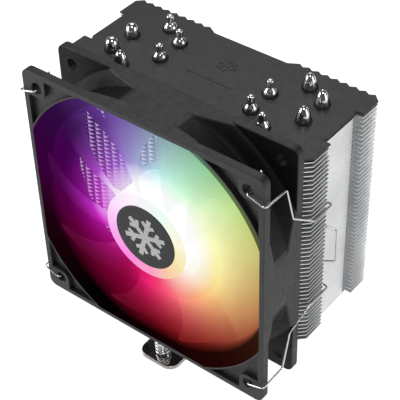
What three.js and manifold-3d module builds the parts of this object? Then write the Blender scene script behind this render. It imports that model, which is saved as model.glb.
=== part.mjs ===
// Single-tower CPU air cooler: six heat pipes, a stack of 45 fins and one clipped-on 120 mm fan.
// Units are millimetres, +Z is up, +X is to the right and +Y runs from the fan to the back.
// The origin is the centre of the cold plate's bottom face.

import * as THREE from 'three';
import { mergeVertices } from 'three/addons/utils/BufferGeometryUtils.js';
import Module from 'manifold-3d';

const wasm = await Module();
wasm.setup();

// ---------------------------------------------------------------- driving dimensions

const GAP = 0.3; // clearance between pieces that meet

// fan housing, in the fan's own frame: origin on the front face's centre, y = depth, z = up
const FAN_SIZE = 120;
const FAN_DEPTH = 25;
const FAN_CORNER_RADIUS = 3.75;
const FAN_HALF = FAN_SIZE / 2;
const FLANGE_THICKNESS = 3.8;
const SCREW_HOLE_SPACING = 105;
const SCREW_HOLE_RADIUS = 2.5;
const DUCT_RADIUS = 57.9; // inside of the duct
const DUCT_WAIST_RADIUS = 61.2; // outside of the duct between the two flanges
const MOUTH_RADIUS = 64.9; // front edge of the flared mouth
const LIP_RADIUS = 65.8; // outside of the thin lip around the mouth
const PANEL_DEPTH = 2.2; // depth of the sunk panel in each corner of the front flange
const PANEL_EDGE = 57.4; // the panels stop here, short of the flange's edge
const PAD_EDGE = 48; // inner edges of the square pad around each screw hole
const PAD_CORNER_RADIUS = 4;
const FAN_FRONT_Y = -48.2;
const FAN_CENTRE_Z = 85.8;

// motor, in the fan's frame
const HUB_RADIUS = 20.7;
const HUB_WALL = 1.7;
const HUB_FRONT = 0.6;
const HUB_BACK = 18;
const BADGE_RADIUS = 15.3;
const SHAFT_RADIUS = 1.5;
const TUBE_RADIUS = 4.1;
const TUBE_BORE = 2.9;
const MOUNT_RADIUS = 22.6;
const MOUNT_FRONT = 22.2;
const MOUNT_BACK = 24.6;
const MOUNT_WALL = 1.2;
const STRUT_FRONT = 19.6;
const STRUT_HALF_WIDTH = 2;
const CABLE_STRUT_HALF_WIDTH = 4.4;
const BOARD_FRONT = 19.4;
const BOARD_BACK = 20.6;
const LED_COUNT = 6;
const LED_ORBIT = 19.9;
const LED_SIZE = 2.2;
const COIL_COUNT = 4;
const CORE_FRONT = 7;
const CORE_BACK = 14.5;
const CABLE_RADIUS = 1.2;
const CABLE_DEPTH = 23.55; // cable centre line, behind the strut
const CABLE_ANGLE = THREE.MathUtils.degToRad(232.5); // direction of the cable's strut

// blades: angles in radians, depths in the fan's frame
const BLADE_COUNT = 9;
const BLADE_TIP_RADIUS = 56.8;
const BLADE_SWEEP = -0.3; // turn of the tip against the root
const BLADE_CAMBER = 1.6;
const BLADE_ROOT = { span: 0.8, thickness: 1.5, lead: 2.6, trail: 18 };
const BLADE_TIP = { span: 0.74, thickness: 1, lead: 3.8, trail: 16.2 };

// heatsink
const PIPE_RADIUS = 3;
const PIPE_PITCH = 6.4;
const PIPE_LEVEL = 5; // centre height of the pipes inside the base
const PIPE_END = 140.2; // the pipes are round up to here, and their sealed tips start
const COLUMN_INNER = 25.4;
const COLUMN_MIDDLE = 35.5;
const COLUMN_OUTER = 45.7;
const FIN_COUNT = 45;
const FIN_PITCH = 2.16;
const FIN_THICKNESS = 0.4;
const TOP_PLATE_TOP = 139;
const TOP_PLATE_THICKNESS = 0.9;
const FIN_STACK_TOP = 137.3;
const FIN_HALF_WIDTH = 59;
const EAR_HALF_WIDTH = 62;
const FIN_FRONT_Y = FAN_FRONT_Y + FAN_DEPTH + GAP;
const FIN_BACK_Y = 27.3;
const FIN_BACK_STEP_Y = 24.7;
const FIN_BACK_STEP_X = 18.6;
const EAR_CHAMFER = 3;
const FRONT_EAR_END_Y = -8.8; // the wire clip catches behind this edge
const BACK_EAR_START_Y = 13.8;
const BACK_EAR_END_Y = 24.5;
const TAB_FRONT_Y = -6.2;
const TAB_BACK_Y = 11.3;

// base and its fixings
const PLATE_HALF_X = 18.5;
const PLATE_HALF_Y = 20;
const CAP_HALF_X = 16;
const CAP_HALF_Y = 24;
const CAP_TOP = 9.6;
const BLOCK_CORNER = 2;
const HALF_SEAM = 0.1;
const BAR_THICKNESS = 2.2;
const BAR_TOP = CAP_TOP + BAR_THICKNESS;
const BAR_HALF_WIDTH = 10;
const BAR_HALF_LENGTH = 47;
const BAR_CORNER = 5;
const BAR_SCREW_Y = 21.4;
const BAR_SCREW_RADIUS = 1.4;
const SPRING_SCREW_Y = 41;
const SPRING_SCREW_RADIUS = 1.5;
const SPRING_RADIUS = 3.05;
const SPRING_WIRE = 0.45;
const SPRING_TOP = 18.3;
const WASHER_TOP = 18.9;
const HEAD_TOP = 24.1;
const HEAD_RADIUS = 3.5;

// wire clips
const CLIP_WIRE = 0.5;
const CLIP_BEND = 1.4;

// ---------------------------------------------------------------- materials

function finish(color, roughness, metalness, extra = {}) {
  return new THREE.MeshStandardMaterial({ color, roughness, metalness, ...extra });
}

const FINISH = {
  nickel: finish('#c9c6c2', 0.12, 1),
  aluminium: finish('#cfd0d2', 0.38, 1),
  blackPlate: finish('#3a3a3c', 0.5, 0.4),
  darkNickel: finish('#6f6c6a', 0.2, 1),
  steel: finish('#dadada', 0.25, 1),
  blackPlastic: finish('#3d3d40', 0.6, 0),
  milkyPlastic: finish('#e9e3f0', 0.35, 0, { transparent: true, opacity: 0.75 }),
  badge: finish('#2b2b2e', 0.4, 0),
  magnet: finish('#2a2829', 0.8, 0),
  copper: finish('#b4602f', 0.3, 1),
  brass: finish('#b9964c', 0.3, 1),
  circuitBoard: finish('#1f4d32', 0.5, 0),
  led: finish('#ffffff', 0.4, 0, { emissive: '#ff66cc' }),
  label: finish('#d8d8d8', 0.6, 0),
  cable: finish('#1b1b1d', 0.7, 0),
};

// ---------------------------------------------------------------- geometry helpers

// Welds equal corners, drops triangles without area and turns every face outwards.
function closed(geometry) {
  const bare = geometry.clone();
  bare.deleteAttribute('normal');
  bare.deleteAttribute('uv');
  const welded = mergeVertices(bare, 1e-4);
  const position = welded.attributes.position;
  const source = welded.index.array;
  const index = [];
  const [a, b, c] = [new THREE.Vector3(), new THREE.Vector3(), new THREE.Vector3()];
  let volume = 0;
  for (let i = 0; i < source.length; i += 3) {
    const [p, q, r] = [source[i], source[i + 1], source[i + 2]];
    if (p === q || q === r || r === p) continue;
    index.push(p, q, r);
    a.fromBufferAttribute(position, p);
    b.fromBufferAttribute(position, q);
    c.fromBufferAttribute(position, r);
    volume += a.dot(b.cross(c));
  }
  if (volume < 0) index.reverse();
  welded.setIndex(index);
  return welded;
}

function solid(geometry) {
  const shell = closed(geometry);
  return new wasm.Manifold(new wasm.Mesh({
    numProp: 3,
    vertProperties: shell.attributes.position.array,
    triVerts: new Uint32Array(shell.index.array),
  }));
}

function geometryOf(manifold) {
  const mesh = manifold.getMesh();
  const geometry = new THREE.BufferGeometry();
  geometry.setAttribute('position', new THREE.BufferAttribute(mesh.vertProperties, 3));
  geometry.setIndex(new THREE.BufferAttribute(mesh.triVerts, 1));
  geometry.computeVertexNormals();
  return geometry;
}

function join(...geometries) {
  return geometries.map(solid).reduce((whole, next) => whole.add(next));
}

function cut(body, ...tools) {
  return tools.map(solid).reduce((whole, tool) => whole.subtract(tool), body);
}

function box(x0, x1, y0, y1, z0, z1) {
  const geometry = new THREE.BoxGeometry(x1 - x0, y1 - y0, z1 - z0);
  return geometry.translate((x0 + x1) / 2, (y0 + y1) / 2, (z0 + z1) / 2);
}

// A solid of revolution about y from [radius, y] pairs; the profile closes on itself or on the axis.
function turned(profile, segments) {
  const points = profile.map(([radius, y]) => new THREE.Vector2(radius, y));
  if (profile[0][0] > 0) points.push(points[0].clone());
  return new THREE.LatheGeometry(points, segments);
}

function ring(inner, outer, y0, y1, segments) {
  return turned([[inner, y0], [outer, y0], [outer, y1], [inner, y1]], segments);
}

function disc(radius, y0, y1, segments) {
  return turned([[0, y0], [radius, y0], [radius, y1], [0, y1]], segments);
}

// The same turned shapes standing upright, with the profile's y running along +Z.
function upright(geometry, x = 0, y = 0) {
  return geometry.rotateX(Math.PI / 2).translate(x, y, 0);
}

// An outline drawn in x and y, extruded from height z0 to z1.
function slab(outline, z0, z1, curveSegments = 4) {
  const options = { depth: z1 - z0, bevelEnabled: false, curveSegments };
  return new THREE.ExtrudeGeometry(outline, options).translate(0, 0, z0);
}

// An outline drawn in x and z of the fan, extruded from depth y0 to y1.
function panel(outline, y0, y1, curveSegments = 4) {
  const options = { depth: y1 - y0, bevelEnabled: false, curveSegments };
  return new THREE.ExtrudeGeometry(outline, options).rotateX(Math.PI / 2).translate(0, y1, 0);
}

function polygon(points) {
  return new THREE.Shape(points.map(([x, y]) => new THREE.Vector2(x, y)));
}

function roundedRectangle(halfX, halfY, radius) {
  const shape = new THREE.Shape();
  shape.absarc(halfX - radius, halfY - radius, radius, 0, Math.PI / 2);
  shape.absarc(-halfX + radius, halfY - radius, radius, Math.PI / 2, Math.PI);
  shape.absarc(-halfX + radius, -halfY + radius, radius, Math.PI, 1.5 * Math.PI);
  shape.absarc(halfX - radius, -halfY + radius, radius, 1.5 * Math.PI, 2 * Math.PI);
  return shape;
}

// A drill that passes right through a plate between heights z0 and z1.
function drill(x, y, radius, z0, z1) {
  return upright(disc(radius, z0 - 1, z1 + 1, 8), x, y);
}

// A path that is known only at its stations, each a point and a direction.
class StationPath extends THREE.Curve {
  constructor(stations) {
    super();
    this.stations = stations;
  }

  stationAt(u) {
    return this.stations[Math.round(u * (this.stations.length - 1))];
  }

  getPointAt(u, target = new THREE.Vector3()) {
    return target.copy(this.stationAt(u).point);
  }

  getTangentAt(u, target = new THREE.Vector3()) {
    return target.copy(this.stationAt(u).direction);
  }
}

// Stations along straight runs between corners, with each inner corner rounded to a bend radius.
function bentPath(corners, bendRadius, bendSteps) {
  const points = corners.map((corner) => new THREE.Vector3(...corner));
  const along = (i) => points[i + 1].clone().sub(points[i]).normalize();
  const stations = [{ point: points[0], direction: along(0) }];
  for (let i = 1; i < points.length - 1; i += 1) {
    const [before, after] = [along(i - 1), along(i)];
    const turn = before.angleTo(after);
    const inward = after.clone().addScaledVector(before, -before.dot(after)).normalize();
    const start = points[i].clone().addScaledVector(before, -bendRadius * Math.tan(turn / 2));
    for (let step = 0; step <= bendSteps; step += 1) {
      const angle = turn * step / bendSteps;
      stations.push({
        point: start.clone()
          .addScaledVector(before, bendRadius * Math.sin(angle))
          .addScaledVector(inward, bendRadius * (1 - Math.cos(angle))),
        direction: before.clone().multiplyScalar(Math.cos(angle)).addScaledVector(inward, Math.sin(angle)),
      });
    }
  }
  stations.push({ point: points.at(-1), direction: along(points.length - 2) });
  return stations;
}

function roundBar(stations, radius, sides) {
  const section = polygon(Array.from({ length: sides }, (_, i) => {
    const angle = 2 * Math.PI * (i + 0.5) / sides;
    return [radius * Math.cos(angle), radius * Math.sin(angle)];
  }));
  const extrudePath = new StationPath(stations);
  return new THREE.ExtrudeGeometry(section, { steps: stations.length - 1, extrudePath });
}

// ---------------------------------------------------------------- assembly

const group = new THREE.Group();
const fan = new THREE.Group();
fan.position.set(0, FAN_FRONT_Y, FAN_CENTRE_Z);
group.add(fan);

function add(parent, name, material, shape) {
  const geometry = shape.isBufferGeometry ? closed(shape) : geometryOf(shape);
  const mesh = new THREE.Mesh(geometry, material);
  mesh.name = name;
  parent.add(mesh);
  return mesh;
}

// ---------------------------------------------------------------- heatsink

// Each pipe's column distance from the middle and the shape of its tip on either side, from the
// front pipe to the back one.
const PIPES = [
  { left: COLUMN_MIDDLE, right: COLUMN_MIDDLE, leftTip: 'bullet', rightTip: 'nipple' },
  { left: COLUMN_OUTER, right: COLUMN_INNER, leftTip: 'dome', rightTip: 'nipple' },
  { left: COLUMN_INNER, right: COLUMN_OUTER, leftTip: 'nipple', rightTip: 'bullet' },
  { left: COLUMN_OUTER, right: COLUMN_INNER, leftTip: 'dome', rightTip: 'nipple' },
  { left: COLUMN_INNER, right: COLUMN_OUTER, leftTip: 'nipple', rightTip: 'bullet' },
  { left: COLUMN_MIDDLE, right: COLUMN_MIDDLE, leftTip: 'nipple', rightTip: 'bullet' },
].map((pipe, i) => ({ ...pipe, y: (i - 2.5) * PIPE_PITCH }));

// Radius and height of each kind of tip, above the pipe's round end.
const TIP_PROFILES = {
  bullet: [[PIPE_RADIUS, 0], [2.2, 3.4], [0, 5.8]],
  dome: [[PIPE_RADIUS, 0], [2.4, 2.8], [0, 4.6]],
  nipple: [[PIPE_RADIUS, 0], [1.5, 2.2], [1.3, 5.4], [0, 6]],
};

function pipeTip(kind, x, y) {
  const shrink = 0.985; // keeps the tip's wall just inside the pipe's
  const profile = TIP_PROFILES[kind].map(([radius, height]) => [radius * shrink, height]);
  profile.unshift([0, -1], [profile[0][0], -1]);
  return upright(turned(profile, 8), x, y).translate(0, 0, PIPE_END);
}

// Each pipe rises on a slant from the base, in one upright plane, to a column on either side.
function pipeCorners({ left, right, y }) {
  const shoulder = 20.2;
  const columnFoot = (column) => PIPE_LEVEL + column - shoulder;
  return [
    [-left, y, PIPE_END],
    [-left, y, columnFoot(left)],
    [-shoulder, y, PIPE_LEVEL],
    [shoulder, y, PIPE_LEVEL],
    [right, y, columnFoot(right)],
    [right, y, PIPE_END],
  ];
}

function heatPipe(pipe) {
  const bendRadius = 8;
  const tube = roundBar(bentPath(pipeCorners(pipe), bendRadius, 2), PIPE_RADIUS, 8);
  return join(tube, pipeTip(pipe.leftTip, -pipe.left, pipe.y), pipeTip(pipe.rightTip, pipe.right, pipe.y));
}

// The outline that the fins and the top plate share; the plate's back edge also steps in at the middle.
function finOutline(backSteps) {
  const right = [
    [EAR_HALF_WIDTH - EAR_CHAMFER, FIN_FRONT_Y],
    [EAR_HALF_WIDTH, FIN_FRONT_Y + EAR_CHAMFER],
    [EAR_HALF_WIDTH, FRONT_EAR_END_Y],
    [FIN_HALF_WIDTH, FRONT_EAR_END_Y],
    [FIN_HALF_WIDTH, BACK_EAR_START_Y],
    [EAR_HALF_WIDTH, BACK_EAR_START_Y],
    [EAR_HALF_WIDTH, BACK_EAR_END_Y],
    [EAR_HALF_WIDTH - EAR_CHAMFER, FIN_BACK_Y],
    ...backSteps,
  ];
  const left = right.map(([x, y]) => [-x, y]).reverse();
  return polygon([...right, ...left]);
}

// One slot through all the fins takes the pipes of one column.
function columnSlot(x, ys, bottom, top) {
  const reach = PIPE_RADIUS + GAP;
  return box(x - reach, x + reach, Math.min(...ys) - reach, Math.max(...ys) + reach, bottom, top);
}

function finStack() {
  const outline = finOutline([]);
  const lowest = FIN_STACK_TOP - (FIN_COUNT - 1) * FIN_PITCH - FIN_THICKNESS;
  const tab = { inner: FIN_HALF_WIDTH - 0.3, outer: FIN_HALF_WIDTH + 0.2 };
  const foot = lowest + 0.1;
  const crest = FIN_STACK_TOP - 0.1;
  let stack = join(
    box(tab.inner, tab.outer, TAB_FRONT_Y, TAB_BACK_Y, foot, crest),
    box(-tab.outer, -tab.inner, TAB_FRONT_Y, TAB_BACK_Y, foot, crest),
  );
  for (let i = 0; i < FIN_COUNT; i += 1) {
    const bottom = lowest + i * FIN_PITCH;
    stack = stack.add(solid(slab(outline, bottom, bottom + FIN_THICKNESS)));
  }
  const columns = [COLUMN_INNER, COLUMN_MIDDLE, COLUMN_OUTER];
  const slots = columns.flatMap((column) => ['left', 'right'].map((side) => {
    const depths = PIPES.filter((pipe) => pipe[side] === column).map((pipe) => pipe.y);
    return columnSlot(side === 'left' ? -column : column, depths, lowest - 1, FIN_STACK_TOP + 1);
  }));
  return cut(stack, ...slots);
}

function topPlate() {
  const [bottom, clearance] = [TOP_PLATE_TOP - TOP_PLATE_THICKNESS, PIPE_RADIUS + GAP];
  const holes = PIPES.flatMap(({ left, right, y }) => [
    drill(-left, y, clearance, bottom, TOP_PLATE_TOP),
    drill(right, y, clearance, bottom, TOP_PLATE_TOP),
  ]);
  const outline = finOutline([[FIN_BACK_STEP_X, FIN_BACK_Y], [FIN_BACK_STEP_X, FIN_BACK_STEP_Y]]);
  return cut(solid(slab(outline, bottom, TOP_PLATE_TOP)), ...holes);
}

// ---------------------------------------------------------------- base

function pipeGrooves(halfLength) {
  return PIPES.map(({ y }) => {
    const groove = disc(PIPE_RADIUS + GAP, -halfLength, halfLength, 10);
    return groove.rotateZ(Math.PI / 2).translate(0, y, PIPE_LEVEL);
  });
}

// The cold plate and the cap meet at the pipes' centre height and leave a fine seam there.
function coldPlate() {
  const top = PIPE_LEVEL - HALF_SEAM;
  const block = solid(slab(roundedRectangle(PLATE_HALF_X, PLATE_HALF_Y, BLOCK_CORNER), 0, top, 3));
  return cut(block, ...pipeGrooves(PLATE_HALF_X + 1));
}

function baseCap() {
  const bottom = PIPE_LEVEL + HALF_SEAM;
  const outline = roundedRectangle(CAP_HALF_X, CAP_HALF_Y, BLOCK_CORNER);
  const threads = [-1, 1].map((side) => (
    drill(0, side * BAR_SCREW_Y, BAR_SCREW_RADIUS + 0.2, bottom, CAP_TOP)
  ));
  return cut(solid(slab(outline, bottom, CAP_TOP, 3)), ...pipeGrooves(CAP_HALF_X + 1), ...threads);
}

function mountingBar() {
  const outline = roundedRectangle(BAR_HALF_WIDTH, BAR_HALF_LENGTH, BAR_CORNER);
  const holes = [-1, 1].flatMap((side) => [
    drill(0, side * BAR_SCREW_Y, BAR_SCREW_RADIUS + 0.4, CAP_TOP, BAR_TOP),
    drill(0, side * SPRING_SCREW_Y, SPRING_SCREW_RADIUS + 0.5, CAP_TOP, BAR_TOP),
  ]);
  return cut(solid(slab(outline, CAP_TOP, BAR_TOP, 5)), ...holes);
}

// A cross recess at the top of a screw head.
function crossRecess(body, x, y, top, depth) {
  const [arm, half] = [1.7, 0.45];
  return cut(
    body,
    box(x - arm, x + arm, y - half, y + half, top - depth, top + 1),
    box(x - half, x + half, y - arm, y + arm, top - depth, top + 1),
  );
}

function barScrew(y) {
  const [shank, head, headTop, tip] = [BAR_SCREW_RADIUS, 2.8, BAR_TOP + 1.9, PIPE_LEVEL + 0.4];
  const profile = [[0, tip], [shank, tip], [shank, BAR_TOP], [head, BAR_TOP], [head, headTop - 0.7],
    [head - 0.8, headTop], [0, headTop]];
  return crossRecess(solid(upright(turned(profile, 14), 0, y)), 0, y, headTop, 1);
}

function springScrew(y) {
  const [shank, tip, chamfer] = [SPRING_SCREW_RADIUS, 2.2, 0.6];
  const profile = [[0, tip], [shank - chamfer, tip], [shank, tip + chamfer], [shank, WASHER_TOP],
    [HEAD_RADIUS, WASHER_TOP], [HEAD_RADIUS, HEAD_TOP - chamfer], [HEAD_RADIUS - chamfer, HEAD_TOP],
    [0, HEAD_TOP]];
  return crossRecess(solid(upright(turned(profile, 18), 0, y)), 0, y, HEAD_TOP, 2.2);
}

function springWasher(y) {
  const [bore, outer] = [SPRING_SCREW_RADIUS + 0.2, 3.4];
  return upright(ring(bore, outer, SPRING_TOP + 0.1, WASHER_TOP, 18), 0, y);
}

// The ring under the bar that keeps the spring screw from falling out.
function screwRetainer(y) {
  const [bore, outer, top, thickness] = [SPRING_SCREW_RADIUS + 0.06, 2.9, CAP_TOP - 0.1, 0.7];
  return upright(ring(bore, outer, top - thickness, top, 14), 0, y);
}

function spring(y) {
  const turns = 3.5;
  const stepsPerTurn = 8;
  const bottom = BAR_TOP + 0.1 + SPRING_WIRE;
  const rise = SPRING_TOP - SPRING_WIRE - bottom;
  const count = Math.round(turns * stepsPerTurn);
  const stations = Array.from({ length: count + 1 }, (_, i) => {
    const angle = 2 * Math.PI * turns * i / count;
    return {
      point: new THREE.Vector3(
        SPRING_RADIUS * Math.cos(angle),
        y + SPRING_RADIUS * Math.sin(angle),
        bottom + rise * i / count,
      ),
      direction: new THREE.Vector3(
        -SPRING_RADIUS * Math.sin(angle),
        SPRING_RADIUS * Math.cos(angle),
        rise / (2 * Math.PI * turns),
      ).normalize(),
    };
  });
  return roundBar(stations, SPRING_WIRE, 5);
}

// ---------------------------------------------------------------- fan housing

// The sunk panel of one corner. It runs round the inside of the screw hole's pad, between the
// flange's rim and the lip of the mouth.
function sunkPanel(mirrorX, mirrorZ) {
  const shape = new THREE.Shape();
  const padArc = PAD_EDGE + PAD_CORNER_RADIUS;
  const start = Math.acos(PANEL_EDGE / LIP_RADIUS);
  shape.absarc(0, 0, LIP_RADIUS, start, Math.PI / 2 - start);
  shape.lineTo(PAD_EDGE, PANEL_EDGE);
  shape.absarc(padArc, padArc, PAD_CORNER_RADIUS, Math.PI, 1.5 * Math.PI);
  shape.lineTo(PANEL_EDGE, PAD_EDGE);
  const points = shape.getPoints(5).map(({ x, y }) => [x * mirrorX, y * mirrorZ]);
  return panel(polygon(points), -1, PANEL_DEPTH);
}

function ductWall() {
  const [front, back, half] = [0.5, FAN_DEPTH - 0.5, FAN_HALF - 0.05];
  const lip = LIP_RADIUS - 0.05;
  const rearRadius = 67.3;
  const profile = [[0, front], [lip, front], [lip, 3.4], [DUCT_WAIST_RADIUS, 7.5], [DUCT_WAIST_RADIUS, 15.5],
    [rearRadius, 20.8], [rearRadius, back], [0, back]];
  return solid(turned(profile, 40)).intersect(solid(box(-half, half, front - 1, back + 1, -half, half)));
}

function airPassage() {
  const [front, back, half] = [-1, FAN_DEPTH + 1, DUCT_RADIUS];
  const profile = [[0, front], [MOUTH_RADIUS, front], [MOUTH_RADIUS, 0], [60, 3.8], [DUCT_RADIUS, 9],
    [DUCT_RADIUS, back], [0, back]];
  return solid(turned(profile, 48)).intersect(solid(box(-half, half, front - 1, back + 1, -half, half)));
}

function strut(angle, halfWidth) {
  const reach = DUCT_RADIUS + 1.5;
  const bar = box(MOUNT_RADIUS - 2, reach, STRUT_FRONT, MOUNT_FRONT, -halfWidth, halfWidth);
  return bar.rotateY(-angle);
}

function fanFrame() {
  const outline = roundedRectangle(FAN_HALF, FAN_HALF, FAN_CORNER_RADIUS);
  let frame = join(
    panel(outline, 0, FLANGE_THICKNESS),
    panel(outline, FAN_DEPTH - FLANGE_THICKNESS, FAN_DEPTH),
  ).add(ductWall()).subtract(airPassage());

  for (const mirrorX of [-1, 1]) {
    for (const mirrorZ of [-1, 1]) {
      const hole = disc(SCREW_HOLE_RADIUS, -1, FAN_DEPTH + 1, 10);
      hole.translate(mirrorX * SCREW_HOLE_SPACING / 2, 0, mirrorZ * SCREW_HOLE_SPACING / 2);
      frame = cut(frame, hole, sunkPanel(mirrorX, mirrorZ));
    }
  }

  const cupInside = MOUNT_RADIUS - MOUNT_WALL;
  const seat = MOUNT_FRONT + 0.5; // the cup's wall and the bearing tube start inside its floor
  const tubeFront = 5.5;
  const mount = join(
    disc(MOUNT_RADIUS, MOUNT_FRONT, MOUNT_BACK, 30),
    ring(cupInside, MOUNT_RADIUS, STRUT_FRONT - 0.6, seat, 30),
    ring(TUBE_BORE, TUBE_RADIUS, tubeFront, seat, 14),
  );
  const quarter = Math.PI / 2;
  const struts = join(
    strut(CABLE_ANGLE, CABLE_STRUT_HALF_WIDTH),
    strut(CABLE_ANGLE + quarter, STRUT_HALF_WIDTH),
    strut(CABLE_ANGLE + 2 * quarter, STRUT_HALF_WIDTH),
    strut(CABLE_ANGLE - quarter, STRUT_HALF_WIDTH),
  );
  const hollow = disc(cupInside, 0, MOUNT_FRONT, 30);
  const motorRoom = solid(hollow).subtract(solid(disc(TUBE_RADIUS, -1, FAN_DEPTH, 18)));
  const channelHalf = CABLE_STRUT_HALF_WIDTH - 0.2;
  const channel = box(DUCT_RADIUS - 3, FAN_SIZE, MOUNT_FRONT, FAN_DEPTH + 1, -channelHalf, channelHalf);
  return cut(frame.add(struts.subtract(motorRoom)).add(mount), channel.rotateY(-CABLE_ANGLE));
}

function bearingSleeve() {
  const [bore, outer, front, back] = [SHAFT_RADIUS + 0.12, TUBE_BORE - 0.15, 6, 19];
  return ring(bore, outer, front, back, 18);
}

function circuitBoard() {
  const outer = 21;
  return ring(TUBE_RADIUS + 0.4, outer, BOARD_FRONT, BOARD_BACK, 24);
}

function motorLabel() {
  const [radius, front, thickness] = [19, MOUNT_BACK + 0.05, 0.2];
  return disc(radius, front, front + thickness, 24);
}

// Laminated core: a ring with poles that widen into curved shoes.
function statorCore() {
  const [shoeInner, shoeOuter, shoeSpan, neckHalf] = [12.8, 15.2, 0.62, 2];
  const parts = [ring(TUBE_RADIUS + 0.3, 7.5, CORE_FRONT, CORE_BACK, 16)];
  for (let i = 0; i < COIL_COUNT; i += 1) {
    const turn = 2 * Math.PI * i / COIL_COUNT;
    const shoe = new THREE.Shape();
    shoe.absarc(0, 0, shoeOuter, -shoeSpan, shoeSpan);
    shoe.absarc(0, 0, shoeInner, shoeSpan, -shoeSpan, true);
    parts.push(panel(shoe, CORE_FRONT, CORE_BACK, 3).rotateY(-turn));
    const neck = box(7, shoeInner + 0.6, CORE_FRONT + 0.02, CORE_BACK - 0.02, -neckHalf, neckHalf);
    parts.push(neck.rotateY(-turn));
  }
  return join(...parts);
}

// A winding round one pole's neck, as one solid with a window for the neck.
function coil(i) {
  const [inner, outer] = [7.9, 11.5];
  const middle = (CORE_FRONT + CORE_BACK) / 2;
  const outline = roundedRectangle(6, 4.4, 2);
  const window = roundedRectangle(4.1, 2.3, 0.4);
  outline.holes.push(new THREE.Path(window.getPoints(1)));
  const winding = slab(outline, inner, outer, 3).rotateZ(Math.PI / 2).rotateY(Math.PI / 2);
  return winding.translate(0, middle, 0).rotateY(-2 * Math.PI * i / COIL_COUNT);
}

function led(i) {
  const [half, back, height] = [LED_SIZE / 2, BOARD_FRONT - 0.1, 0.9];
  const chip = box(LED_ORBIT - half, LED_ORBIT + half, back - height, back, -half, half);
  return chip.rotateY(-2 * Math.PI * (i + 0.5) / LED_COUNT);
}

function cableRoute(side) {
  const [shift, spread, exit] = [side * 1.6, side * 5.6, 76];
  const [cos, sin] = [Math.cos(CABLE_ANGLE), Math.sin(CABLE_ANGLE)];
  const onStrut = (radius) => [radius * cos - shift * sin, CABLE_DEPTH, radius * sin + shift * cos];
  const plugX = -52 + spread;
  return [
    onStrut(MOUNT_RADIUS + 0.6),
    onStrut(exit),
    [(onStrut(exit)[0] + plugX) / 2 + shift, CABLE_DEPTH + 8, -76.5],
    [plugX, CABLE_DEPTH + 26, -78],
    [plugX, CABLE_DEPTH + 38, -78],
  ];
}

function cable(side) {
  return roundBar(bentPath(cableRoute(side), 6, 3), CABLE_RADIUS, 7);
}

// A header plug at the cable's end, with two guide ribs and one socket for each pin.
function plug(side, sockets) {
  const [x, y, z] = cableRoute(side).at(-1);
  const [halfWidth, halfHeight, length, pitch] = [5, 2.9, 12, 2.54];
  const [front, back] = [y + GAP, y + GAP + length];
  const [ribInner, ribOuter, ribHeight, ribSetback] = [1.6, 2.6, 0.8, 2];
  const [socketHalf, socketDepth] = [0.5, 8];
  const ribs = [[-ribOuter, -ribInner], [ribInner, ribOuter]].map(([left, right]) => box(
    x + left,
    x + right,
    front + ribSetback,
    back,
    z + halfHeight - GAP,
    z + halfHeight + ribHeight,
  ));
  const body = join(box(x - halfWidth, x + halfWidth, front, back, z - halfHeight, z + halfHeight), ...ribs);
  const pins = sockets.map((slot) => {
    const centre = x + (slot - 1.5) * pitch;
    const [left, right] = [centre - socketHalf, centre + socketHalf];
    return box(left, right, back - socketDepth, back + 1, z - socketHalf, z + socketHalf);
  });
  return cut(body, ...pins);
}

// ---------------------------------------------------------------- impeller

// One swept, twisted blade as a closed shell between its front and back faces. The impeller turns
// clockwise seen from the front, so each leading edge is at the front and at the smaller angle.
function blade() {
  const [spans, chords] = [4, 4];
  const root = HUB_RADIUS - 0.8;
  const rows = [];
  for (let i = 0; i <= spans; i += 1) {
    const along = i / spans;
    const between = (key) => BLADE_ROOT[key] + (BLADE_TIP[key] - BLADE_ROOT[key]) * along;
    const radius = root + (BLADE_TIP_RADIUS - root) * along;
    const sweep = BLADE_SWEEP * along * along;
    const [lead, trail] = [between('lead'), between('trail')];
    for (const face of [-0.5, 0.5]) {
      const row = [];
      for (let k = 0; k <= chords; k += 1) {
        const t = k / chords;
        const angle = sweep + between('span') * (t - 0.5);
        const camber = BLADE_CAMBER * Math.sin(Math.PI * t);
        const fullness = 0.35 + 0.65 * Math.sin(Math.PI * Math.min(1, t + 0.08));
        const y = lead + (trail - lead) * t - camber + face * between('thickness') * fullness;
        row.push([radius * Math.cos(angle), y, radius * Math.sin(angle)]);
      }
      rows.push(row);
    }
  }
  return closedLoft(rows, spans, chords);
}

// Rows come in pairs, front face then back face, from the root to the tip.
function closedLoft(rows, spans, chords) {
  const vertices = rows.flat(2);
  const at = (span, face, chord) => (span * 2 + face) * (chords + 1) + chord;
  const index = [];
  const quad = (a, b, c, d) => index.push(a, b, c, a, c, d);
  for (let i = 0; i < spans; i += 1) {
    for (let k = 0; k < chords; k += 1) {
      quad(at(i, 0, k), at(i, 0, k + 1), at(i + 1, 0, k + 1), at(i + 1, 0, k));
      quad(at(i, 1, k), at(i + 1, 1, k), at(i + 1, 1, k + 1), at(i, 1, k + 1));
    }
    quad(at(i, 0, 0), at(i + 1, 0, 0), at(i + 1, 1, 0), at(i, 1, 0));
    quad(at(i, 0, chords), at(i, 1, chords), at(i + 1, 1, chords), at(i + 1, 0, chords));
  }
  for (let k = 0; k < chords; k += 1) {
    quad(at(0, 0, k), at(0, 1, k), at(0, 1, k + 1), at(0, 0, k + 1));
    quad(at(spans, 0, k), at(spans, 0, k + 1), at(spans, 1, k + 1), at(spans, 1, k));
  }
  const geometry = new THREE.BufferGeometry();
  geometry.setAttribute('position', new THREE.Float32BufferAttribute(vertices, 3));
  geometry.setIndex(index);
  return geometry;
}

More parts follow.
